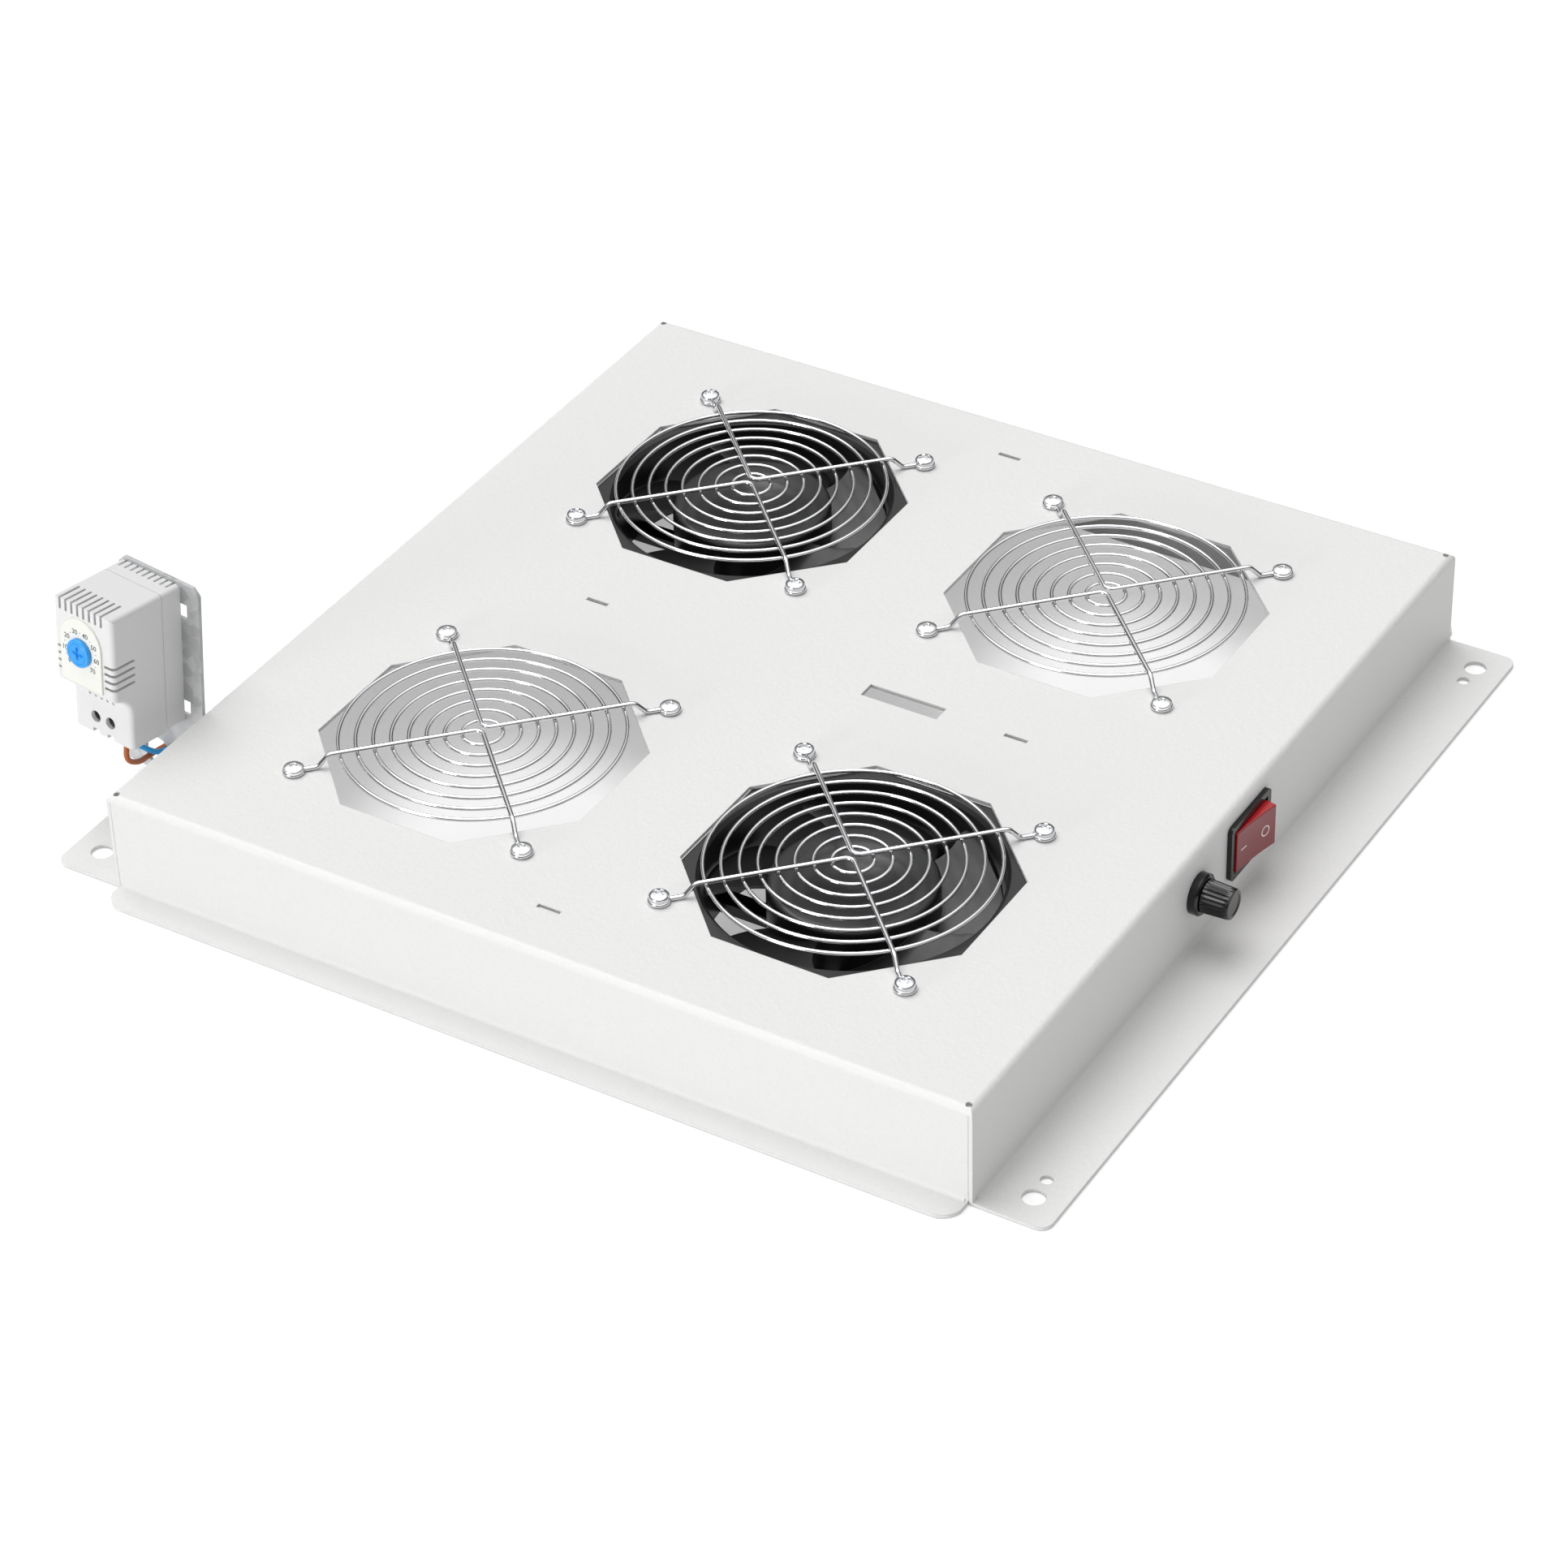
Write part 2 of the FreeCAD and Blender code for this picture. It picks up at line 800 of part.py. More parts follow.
def lance_places():
    """Centres of the four tie slots, each with the long side along X."""
    return (
        (D.tie_slot_offset_x, D.tie_slot_shift_y),
        (-D.tie_slot_offset_x, D.tie_slot_shift_y),
        (D.tie_slot_shift_x, HALF_LENGTH - D.tie_slot_inset_y),
        (D.tie_slot_shift_x, D.tie_slot_inset_y - HALF_LENGTH),
    )


def add_lances(tray):
    """Tie slots: a narrow opening with its strip pressed down into a bridge."""
    slots = tray.outline("XY_Plane", D.tray_height)
    for x, y in lance_places():
        slots.centred(x, y, D.tie_slot_length, D.tie_slot_width)
    tray.pocket(slots, D.bend_radius)
    for x, y in lance_places():
        bridge = tray.outline("XZ_Plane", -y - D.tie_slot_width / 2)
        half = D.tie_slot_length / 2
        low = PLATE_UNDERSIDE - D.lance_drop
        foot = D.lance_gauge
        bridge.polygon(
            [
                (x - half - foot, PLATE_UNDERSIDE),
                (x - half, PLATE_UNDERSIDE),
                (x - half + foot, low),
                (x + half - foot, low),
                (x + half, PLATE_UNDERSIDE),
                (x + half + foot, PLATE_UNDERSIDE),
                (x + half, low - foot),
                (x - half, low - foot),
            ]
        )
        tray.pad(bridge, D.tie_slot_width)


def tab_screw_places():
    """Two screws hold the bracket's tab to the left wall."""
    middle = D.tab_base + D.tab_height / 2
    front = STAT_Y + D.tab_length * D.tab_screw_front
    back = STAT_Y + D.tab_length * D.tab_screw_back
    return ((front, middle), (back, middle))


# --------------------------------------------------------------- finger guards
def flat_ring(radius, wire, middle):
    """A ring of wire, drawn with a square section to keep its faces few."""
    low = Vector(0, 0, middle - wire / 2)
    outer = Part.makeCylinder(radius + wire / 2, wire, low)
    return outer.cut(Part.makeCylinder(radius - wire / 2, wire, low))


def swept_wire(path, start, along, diameter):
    """Round wire of one diameter along a path of lines and arcs."""
    ring = Part.Wire([Part.Circle(start, along, diameter / 2).toShape()])
    return path.makePipeShell([ring], True, True, 1)


def guard_spoke(side):
    """One bent wire: two diagonal legs joined by a round bend beside the middle.

    The legs step down to the plate outside the last ring and end in eyes.
    """
    wire = float(D.guard_spoke_wire)
    radius = float(D.guard_bend_radius)
    offset = float(D.guard_bend_offset)
    high = float(D.guard_ring_height + D.guard_ring_wire / 2) + wire / 2
    low = wire / 2
    diagonal = math.sqrt(0.5)
    reach = float(D.fan_hole_spacing) / 2
    eye = float(D.guard_eye_radius)
    shift = diagonal * (offset + radius) - radius
    step = float(D.guard_step_radius)
    bend_run = diagonal * (offset + radius)
    eye_run = reach / diagonal - math.sqrt(eye * eye - shift * shift)
    profile = [
        Vector(bend_run, 0, high - wire / 2),
        Vector(step - float(D.guard_step_run), 0, high - wire / 2),
        Vector(step - wire / 2, 0, low - wire / 2),
        Vector(eye_run, 0, low - wire / 2),
        Vector(eye_run, 0, low + wire / 2),
        Vector(step + wire / 2, 0, low + wire / 2),
        Vector(step - float(D.guard_step_run) + wire, 0, high + wire / 2),
        Vector(bend_run, 0, high + wire / 2),
    ]
    leg = Part.Face(Part.makePolygon(profile + profile[:1])).extrude(Vector(0, wire, 0))
    leg.translate(Vector(0, shift - wire / 2, 0))
    leg.rotate(Vector(0, 0, 0), Vector(0, 0, 1), 45)
    other = leg.mirror(Vector(0, 0, 0), Vector(1, 0, 0))
    centre = Vector(0, offset + radius, 0)
    bend = flat_ring(radius, wire, high)
    bend.translate(centre)
    wedge = Part.makeBox(2 * radius, 2 * radius, high + wire)
    wedge.rotate(Vector(0, 0, 0), Vector(0, 0, 1), 45)
    wedge.rotate(Vector(0, 0, 0), Vector(0, 0, 1), 180)
    wedge.translate(centre)
    pieces = [leg, other, bend.common(wedge)]
    for hand in (-1, 1):
        ring = flat_ring(eye, wire, low)
        pieces.append(ring.translated(Vector(hand * reach, reach, 0)))
    if side < 0:
        pieces = [piece.rotated(Vector(0, 0, 0), Vector(0, 0, 1), 180) for piece in pieces]
    return pieces


def make_guards():
    """Four welded guards: concentric rings under two bent spokes with eyes."""
    rings = []
    for index in range(int(float(D.guard_ring_count))):
        radius = float(D.guard_first_radius + D.guard_pitch * index)
        rings.append(
            flat_ring(radius, float(D.guard_ring_wire), float(D.guard_ring_height))
        )
    shape = rings[0].fuse(rings[1:] + guard_spoke(1) + guard_spoke(-1))
    for bay in BAYS:
        x, y = bay_centre(bay)
        node = add_shape("guard_" + bay, shape.copy())
        place_node(node, (x, y, D.tray_height))


# ------------------------------------------------------------------- fans
def fan_base(bay):
    x, y = bay_centre(bay)
    return (x, y, FAN_SEAT)


def make_fan_frame(bay):
    """Frame of one fan: two square flanges on a round duct, struts and a motor seat."""
    frame = Piece("fan_frame_" + bay)
    half = D.fan_size / 2
    top = D.fan_depth
    flanges = frame.outline().rectangle(-half, half, -half, half)
    frame.pad(flanges, D.fan_flange)
    duct = frame.outline().circle(0, 0, D.fan_bore / 2 + D.fan_wall)
    frame.pad(duct, top)
    upper = frame.outline("XY_Plane", top).rectangle(-half, half, -half, half)
    frame.pad(upper, D.fan_flange, back=True)
    frame.round_edges(
        D.fan_corner,
        lambda middle, along, edge: abs(along.z) > 0.999
        and abs(middle.x) > float(half) - 0.01
        and abs(middle.y) > float(half) - 0.01,
    )
    bore = frame.outline().circle(0, 0, D.fan_bore / 2)
    frame.pocket(bore, back=True)
    frame.round_edges(
        D.fan_mouth_chamfer,
        lambda middle, along, edge: abs(edge.Length - math.pi * float(D.fan_bore)) < 0.1
        and abs(middle.z - float(top)) < 0.01,
        "Chamfer",
    )
    holes = frame.outline()
    for side, row in CORNERS:
        reach = D.fan_hole_spacing / 2
        holes.circle(side * reach, row * reach, D.fan_hole_diameter / 2)
    frame.pocket(holes, back=True)
    plate = frame.outline().circle(0, 0, D.motor_plate_diameter / 2)
    frame.pad(plate, D.motor_plate)
    strut = frame.outline()
    strut.rectangle(
        D.motor_plate_diameter / 2 - D.fan_wall,
        D.fan_bore / 2 + D.fan_wall / 2,
        -D.strut_width / 2,
        D.strut_width / 2,
    )
    arm = frame.pad(strut, D.strut_height)
    frame.repeat_round([arm], D.strut_count)
    tube = frame.outline().circle(0, 0, D.bearing_tube_diameter / 2)
    frame.pad(tube, D.bearing_tube_height)
    seat = frame.outline("XY_Plane", D.bearing_tube_height)
    seat.circle(0, 0, D.bearing_diameter / 2 + D.seat_clearance)
    frame.pocket(seat, D.bearing_tube_height - D.motor_plate + D.fan_wall)
    frame.place(fan_base(bay))


def hub_top():
    return D.fan_depth - D.hub_recess


def make_impeller(bay):
    """Hub cup with a boss for the shaft, and broad helical blades round it."""
    outer = D.hub_diameter / 2
    inner = outer - D.hub_wall
    low = hub_top() - D.hub_height
    boss = D.hub_boss_diameter / 2
    bore = D.shaft_diameter / 2 + D.seat_clearance
    hub = Piece("hub_form_" + bay)
    NODES.remove(hub.body)
    profile = hub.outline("XZ_Plane").polygon(
        [
            (bore, hub_top() - D.hub_wall - D.bearing_width),
            (boss, hub_top() - D.hub_wall - D.bearing_width),
            (boss, hub_top() - D.hub_wall),
            (inner, hub_top() - D.hub_wall),
            (inner, low),
            (outer, low),
            (outer, hub_top() - D.hub_round),
            (outer - D.hub_round, hub_top()),
            (bore, hub_top()),
        ]
    )
    hub.revolve(profile, "V_Axis")
    doc.recompute()
    blades = impeller_blades(float(low) + (float(D.hub_height) - float(D.blade_height)) / 2)
    shape = hub.body.Shape.copy().fuse(blades)
    node = add_shape("impeller_" + bay, shape)
    place_node(node, fan_base(bay))


def impeller_blades(low):
    """Helical slabs trimmed by a plan outline with swept edges and round tips."""
    inner = float(D.hub_diameter) / 2 - float(D.hub_wall) / 2
    outer = float(D.fan_bore) / 2 - float(D.blade_tip_clearance)
    span = float(D.blade_span)
    pitch = float(D.blade_height - D.blade_gauge) * 360.0 / (span + float(D.blade_sweep))
    turn = pitch * (span + float(D.blade_sweep)) / 360.0
    helices = [Part.makeHelix(pitch, turn, radius) for radius in (inner - 1, outer + 1)]
    surface = Part.makeRuledSurface(helices[0].Edges[0], helices[1].Edges[0])
    slab = surface.extrude(Vector(0, 0, float(D.blade_gauge)))
    trim = blade_outline(inner, outer, span).extrude(Vector(0, 0, turn + 10))
    trim = round_tips(trim, outer, float(D.blade_tip_round))
    blade = slab.common(trim)
    blade.translate(Vector(0, 0, low))
    count = int(float(D.blade_count))
    return [
        blade.rotated(Vector(0, 0, 0), Vector(0, 0, 1), 360.0 * index / count)
        for index in range(count)
    ]


def on_circle(radius, degrees):
    angle = math.radians(degrees)
    return Vector(radius * math.cos(angle), radius * math.sin(angle), 0)


def blade_outline(inner, outer, span):
    """Plan of one blade: both edges sweep forward from the hub to the tip."""
    sweep = float(D.blade_sweep)
    middle = (inner + outer) / 2
    start = on_circle(inner, 1.0)
    lead = on_circle(outer, 1.0 + sweep)
    tail = on_circle(outer, span + sweep - 1.0)
    end = on_circle(inner, span - 1.0)
    edges = [
        Part.Arc(start, on_circle(middle, 1.0 + sweep * 0.3), lead).toShape(),
        Part.Arc(lead, on_circle(outer, sweep + span / 2), tail).toShape(),
        Part.Arc(tail, on_circle(middle, span - 1.0 + sweep * 0.3), end).toShape(),
        Part.Arc(end, on_circle(inner, span / 2), start).toShape(),
    ]
    return Part.Face(Part.Wire(edges))


def round_tips(prism, outer, radius):
    corners = [
        edge
        for edge in prism.Edges
        if abs(edge.tangentAt(0).z) > 0.999
        and abs(math.hypot(edge.CenterOfMass.x, edge.CenterOfMass.y) - outer) < 0.01
    ]
    return prism.makeFillet(radius, corners)


def make_fan_works(bay):
    """Rotor ring, shaft, bearings, stator and coils inside one fan."""
    base = fan_base(bay)
    ring = Piece("rotor_ring_" + bay)
    outer = D.hub_diameter / 2 - D.hub_wall - D.seat_clearance
    sleeve = ring.outline("XY_Plane", hub_top() - D.hub_wall - D.rotor_ring_height)
    sleeve.circle(0, 0, outer).circle(0, 0, outer - D.rotor_ring_gauge)
    ring.pad(sleeve, D.rotor_ring_height)
    ring.place(base)
    shaft = Piece("fan_shaft_" + bay)
    rod = shaft.outline("XY_Plane", D.motor_plate + D.seat_clearance)
    rod.circle(0, 0, D.shaft_diameter / 2)
    shaft.pad(rod, hub_top() - D.hub_wall / 2 - D.motor_plate)
    shaft.place(base)
    bearings = Piece("fan_bearings_" + bay)
    bore = D.shaft_diameter / 2 + D.running_clearance
    race = bearings.outline("XY_Plane", D.motor_plate + D.seat_clearance)
    race.circle(0, 0, D.bearing_diameter / 2).circle(0, 0, bore)
    bearings.body.AllowCompound = True
    bearings.pad(race, D.bearing_width)
    upper = bearings.outline("XY_Plane", D.bearing_tube_height)
    upper.circle(0, 0, D.bearing_diameter / 2).circle(0, 0, bore)
    bearings.pad(upper, D.bearing_width, back=True)
    bearings.place(base)
    make_stator(bay, base, outer - D.rotor_ring_gauge - D.stator_gap)


def make_stator(bay, base, reach):
    """Laminated core with four slots, and the coils that fill them."""
    core = Piece("stator_" + bay)
    middle = hub_top() - D.hub_wall - D.rotor_ring_height / 2
    inner = D.bearing_tube_diameter / 2 + D.seat_clearance
    low = middle - D.stator_height / 2
    stack = core.outline("XY_Plane", low)
    stack.circle(0, 0, reach)
    core.pad(stack, D.stator_height)
    eye = core.outline().circle(0, 0, inner)
    core.pocket(eye, back=True)
    slot = core.outline()
    slot.centred((reach + inner) / 2, 0, reach - inner - 4, D.stator_slot_width)
    cut = core.pocket(slot, back=True)
    core.repeat_round([cut], 4)
    core.place(base)
    coils = Piece("stator_coils_" + bay)
    coils.body.AllowCompound = True
    gap = D.seat_clearance
    wound = coils.outline("XY_Plane", low - D.coil_overhang)
    wound.centred(
        (reach + inner) / 2, 0, reach - inner - 4 - 2 * gap, D.stator_slot_width - 2 * gap
    )
    coil = coils.pad(wound, D.stator_height + 2 * D.coil_overhang)
    coils.repeat_round([coil], 4)
    coils.place(base)


def make_fans():
    for bay in FAN_BAYS:
        make_fan_frame(bay)
        make_impeller(bay)
        make_fan_works(bay)


# --------------------------------------------------------------- fasteners
def hexagon(flats):
    """Six corners of a nut, with two flats square to Y."""
    reach = flats / 2
    corner = flats / 2 / math.cos(math.pi / 6)
    return [
        (corner, as_size(0)),
        (corner / 2, reach),
        (-corner / 2, reach),
        (-corner, as_size(0)),
        (-corner / 2, -reach),
        (corner / 2, -reach),
    ]


def master(label):
    """A body that is only copied, so that it isn't a node itself."""
    form = Piece(label)
    NODES.remove(form.body)
    return form


def scatter(label, form, places, height, rotation=None):
    """One node holding a copy of a master body at each place."""
    doc.recompute()
    copies = []
    for x, y in places:
        shape = form.body.Shape.copy()
        shape.Placement = FreeCAD.Placement(Vector(x, y, height), rotation or Rotation())
        copies.append(shape)
    return add_shape(label, Part.makeCompound(copies))


def make_fasteners():
    """Pan-head screws and nuts at the fans, blind rivets at the open bays."""
    seat = float(D.tray_height + D.guard_spoke_wire)
    screw = master("pan_screw_form")
    shank = D.screw_diameter / 2
    head = D.screw_head_diameter / 2
    profile = screw.outline("XZ_Plane").polygon(
        [
            (0, -D.screw_length),
            (shank, -D.screw_length),
            (shank, 0),
            (head, 0),
            (head, D.screw_head_height),
            (0, D.screw_head_height),
        ]
    )
    screw.revolve(profile, "V_Axis")
    scatter("guard_screws", screw, fastener_places(FAN_BAYS), seat)
    nut = master("nut_form")
    shape = nut.outline("XY_Plane", -D.nut_height).polygon(hexagon(D.nut_flats))
    nut.pad(shape, D.nut_height)
    eye = nut.outline("XY_Plane", -D.nut_height).circle(0, 0, shank + D.seat_clearance)
    nut.pocket(eye, back=True)
    nut_seat = float(PLATE_UNDERSIDE - D.fan_flange)
    scatter("fan_nuts", nut, fastener_places(FAN_BAYS), nut_seat)
    rivet = master("rivet_form")
    shank = D.rivet_diameter / 2
    head = D.rivet_head_diameter / 2
    tail = D.rivet_tail_diameter / 2
    grip = D.guard_spoke_wire + D.sheet_gauge
    profile = rivet.outline("XZ_Plane").polygon(
        [
            (0, -grip - D.rivet_tail_height),
            (tail, -grip - D.rivet_tail_height),
            (tail, -grip),
            (shank, -grip),
            (shank, 0),
            (head, 0),
            (head - D.rivet_head_height, D.rivet_head_height),
            (0, D.rivet_head_height),
        ]
    )
    rivet.revolve(profile, "V_Axis")
    scatter("guard_rivets", rivet, fastener_places(OPEN_BAYS), seat)


# ------------------------------------------------------------- rocker switch
def make_switch():
    """Snap-in rocker switch: bezel and well, rocker, lamp and spade terminals."""
    base = (HALF_WIDTH, D.switch_y, D.switch_z)
    housing = Piece("switch_housing")
    frame = housing.outline("YZ_Plane").centred(0, 0, D.bezel_length, D.bezel_height)
    housing.pad(frame, D.bezel_gauge)
    housing.round_edges(
        D.bezel_corner, lambda middle, along, edge: abs(along.x) > 0.999
    )
    body = housing.outline("YZ_Plane")
    body.centred(0, 0, D.switch_body_length, D.switch_body_height)
    housing.pad(body, D.switch_body_depth, back=True)
    well = housing.outline("YZ_Plane", D.bezel_gauge)
    well_length = D.switch_body_length - 2 * D.switch_wall
    well_height = D.switch_body_height - 2 * D.switch_wall
    well.centred(0, 0, well_length, well_height)
    housing.pocket(well, D.switch_well_depth + D.bezel_gauge)
    pivot = housing.outline()
    pin = D.rocker_pin_diameter / 2
    pivot.circle(-D.rocker_pivot_depth, 0, pin + D.running_clearance)
    housing.pocket(pivot, well_height + 2 * D.rocker_pin_length + 0.1, both=True)
    housing.place(base)
    make_rocker(well_height)
    make_switch_terminals(base)


def make_rocker(well_height):
    """Rocker on its own pivot, turned to its rest with the front end pressed in."""
    rocker = Piece("switch_rocker")
    crown = D.rocker_crown
    half = D.rocker_half_length
    skirt = D.rocker_skirt
    height = well_height - 2 * D.rocker_gap
    side = rocker.outline().polygon(
        [
            (crown, -half),
            (crown - D.rocker_dish, as_size(0)),
            (crown, half),
            (crown - skirt, half),
            (-D.rocker_foot, half / 2),
            (-D.rocker_foot, -half / 2),
            (crown - skirt, -half),
        ]
    )
    rocker.pad(side, height, both=True)
    pins = rocker.outline().circle(0, 0, D.rocker_pin_diameter / 2)
    rocker.pad(pins, well_height + 2 * D.rocker_pin_length, both=True)
    pocket = rocker.outline()
    lamp_half = D.lamp_pocket_width / 2
    lamp_front = crown - D.lamp_pocket_cover
    pocket.rectangle(-lamp_half, lamp_front, lamp_half, half - D.lamp_pocket_end)
    rocker.pocket(pocket, D.lamp_length + D.lamp_pocket_play, both=True)
    rest = Rotation(Vector(0, 0, 1), -float(D.rocker_throw) / 2)
    pivot = (HALF_WIDTH - D.rocker_pivot_depth, D.switch_y, D.switch_z)
    rocker.place(pivot, rest)
    lamp = Piece("switch_lamp")
    radius = D.lamp_diameter / 2
    tube = lamp.outline().circle(lamp_front - radius, (half + D.lamp_pocket_play) / 2, radius)
    lamp.pad(tube, D.lamp_length + 1.0 - 2 * D.seat_clearance, both=True)
    lamp.place(pivot, rest)


def make_switch_terminals(base):
    """Four spade terminals in two pairs on the back of the switch."""
    spades = Piece("switch_terminals")
    spades.body.AllowCompound = True
    outline = spades.outline("YZ_Plane", -D.switch_body_depth)
    for side in (-1, 1):
        for row in (-1, 1):
            outline.centred(
                side * D.switch_body_length / 4,
                row * D.switch_body_height / 5,
                D.spade_gauge,
                D.spade_width,
            )
    spades.pad(outline, D.spade_length, back=True)
    spades.place(base)


# --------------------------------------------------------------- fuse holder
def make_fuse_holder():
    """Panel fuse holder: threaded body, nut, pull-out cap and glass cartridge."""
    base = (HALF_WIDTH, D.fuse_y, D.fuse_z)
    body = Piece("fuse_body")
    ring = D.fuse_ring_diameter / 2
    outer = D.fuse_body_diameter / 2
    inner = D.fuse_bore / 2
    floor = D.fuse_body_depth - D.switch_wall
    profile = body.outline().polygon(
        [
            (D.fuse_ring_height, inner),
            (D.fuse_ring_height, ring - D.fuse_ring_break),
            (D.fuse_ring_height - D.fuse_ring_break, ring),
            (0, ring),
            (0, outer),
            (-D.fuse_body_depth, outer),
            (-D.fuse_body_depth, 0),
            (-floor, 0),
            (-floor, inner),
        ]
    )
    body.revolve(profile)
    body.place(base)
    nut = Piece("fuse_nut")
    place = -(D.sheet_gauge + D.fuse_nut_height)
    shape = nut.outline("YZ_Plane", place).polygon(hexagon(D.fuse_nut_flats))
    nut.pad(shape, D.fuse_nut_height)
    eye = nut.outline("YZ_Plane", place - 1.0).circle(0, 0, outer + D.seat_clearance)
    nut.pocket(eye, back=True)
    nut.place(base)
    make_fuse_insert(base, floor)


def make_fuse_insert(base, floor):
    """What pulls out of the holder: cap, glass tube and its two end caps."""
    cap = Piece("fuse_cap")
    start = D.fuse_ring_height + D.fuse_cap_gap
    end = start + D.fuse_cap_length
    plug = D.fuse_plug_diameter / 2
    socket = D.cartridge_cap_diameter / 2 + D.seat_clearance
    profile = cap.outline().polygon(
        [
            (end, 0),
            (end, D.fuse_cap_end_diameter / 2 - D.fuse_cap_break),
            (end - D.fuse_cap_break, D.fuse_cap_end_diameter / 2),
            (start, D.fuse_cap_diameter / 2),
            (start, plug),
            (start - D.fuse_plug_length, plug),
            (start - D.fuse_plug_length, socket),
            (start - D.fuse_socket_wall, socket),
            (start - D.fuse_socket_wall, 0),
        ]
    )
    cap.revolve(profile)
    cap.place(base)
    outer_end = start - D.fuse_socket_wall - D.seat_clearance
    length = D.cartridge_length
    tube = Piece("fuse_glass")
    wall = D.cartridge_diameter / 2
    shell = tube.outline("YZ_Plane", outer_end - length + D.cartridge_cap_length)
    shell.circle(0, 0, wall).circle(0, 0, wall - D.cartridge_glass_gauge)
    tube.pad(shell, length - 2 * D.cartridge_cap_length)
    tube.place(base)
    ends = Piece("fuse_end_caps")
    ends.body.AllowCompound = True
    for offset in (outer_end - D.cartridge_cap_length, outer_end - length):
        disc = ends.outline("YZ_Plane", offset).circle(0, 0, D.cartridge_cap_diameter / 2)
        ends.pad(disc, D.cartridge_cap_length)
    ends.place(base)
    contact = Piece("fuse_contact")
    stop = outer_end - length - D.seat_clearance
    post = contact.outline().rectangle(-floor, stop, 0, D.cartridge_diameter / 2)
    contact.revolve(post)
    contact.place(base)
    tags = Piece("fuse_tags")
    tags.body.AllowCompound = True
    blade = tags.outline("YZ_Plane", -D.fuse_body_depth)
    blade.centred(0, 0, D.spade_gauge, D.spade_width)
    tags.pad(blade, D.spade_length, back=True)
    side = tags.outline("XY_Plane", -D.spade_gauge / 2)
    outer = D.fuse_body_diameter / 2
    side.rectangle(
        -floor + D.fuse_tag_inset,
        -floor + D.fuse_tag_inset + D.spade_width / 2,
        -outer - D.spade_length,
        -outer,
    )
    tags.pad(side, D.spade_gauge)
    tags.place(base)


# ------------------------------------------------------ cabinet thermostat
def stat_place():
    """Placement of the thermostat and its plate, turned and leaning back."""
    turn = Rotation(-float(D.thermostat_turn), 0, -float(D.thermostat_lean))
    return (STAT_X, STAT_Y, D.thermostat_lift), turn


def brow_step():
    """How far the sill lies behind the brow, and how far the curve falls to it."""
    reach = D.stat_brow_round + D.stat_brow_radius
    slope = math.radians(float(D.stat_brow_slope))
    return reach * (1 - math.sin(slope)), reach * math.cos(slope)


def stat_outline(outline, shrink, back):
    """Side view of the cover: a deep brow that curves back into a terminal sill.

    The curve is a small round under the brow, then a larger one tangent to the sill.
    """
    slope = math.radians(float(D.stat_brow_slope))
    step, fall = brow_step()
    front = -D.stat_depth
    small = D.stat_brow_round - shrink
    large = D.stat_brow_radius + shrink
    brow = D.stat_sill_height + fall
    top = D.stat_height - shrink
    outline.polygon(
        [
            (back, shrink),
            (back, top),
            (front + shrink, top),
            (front + shrink, brow, small),
            (
                front + D.stat_brow_round - small * math.sin(slope),
                brow - small * math.cos(slope),
                -large,
            ),
            (front + step + shrink, D.stat_sill_height),
            (front + step + shrink, shrink),
        ]
    )


def make_thermostat():
    base, turn = stat_place()
    cover = Piece("thermostat_cover")
    wall = D.stat_wall
    seam = -D.stat_base_depth
    side = cover.outline("YZ_Plane")
    stat_outline(side, as_size(0), seam)
    cover.pad(side, D.stat_width, both=True)
    front = float(D.stat_depth)
    edge_x = float(D.stat_width) / 2
    cover.round_edges(
        D.stat_round,
        lambda middle, along, edge: abs(abs(middle.x) - edge_x) < 0.01
        and middle.y < float(seam) - 0.01
        and middle.z > 0.01,
    )
    hollow = cover.outline("YZ_Plane")
    stat_outline(hollow, wall, seam + 1)
    cover.pocket(hollow, D.stat_width - 2 * wall, both=True)
    hole = cover.outline("XZ_Plane", D.stat_depth + 1)
    hole.circle(D.dial_shift, D.dial_height, D.dial_shaft_diameter / 2 + D.dial_gap)
    cover.pocket(hole, wall + 2)
    access = cover.outline("XZ_Plane", D.stat_depth - brow_step()[0] + 1)
    for side_sign in (-1, 1):
        access.circle(
            side_sign * D.access_hole_pitch / 2,
            D.access_hole_height,
            D.access_hole_diameter / 2,
        )
    cover.pocket(access, wall + 2)
    entry = cover.outline()
    for x, y in core_entries():
        entry.circle(x, y, D.core_diameter / 2 + D.dial_gap)
    cover.pocket(entry, D.stat_wall + 1, back=True)
    cut_vents(cover, wall)
    cover.place(base, turn)
    make_thermostat_base(base, turn, wall)
    make_dial(base, turn)


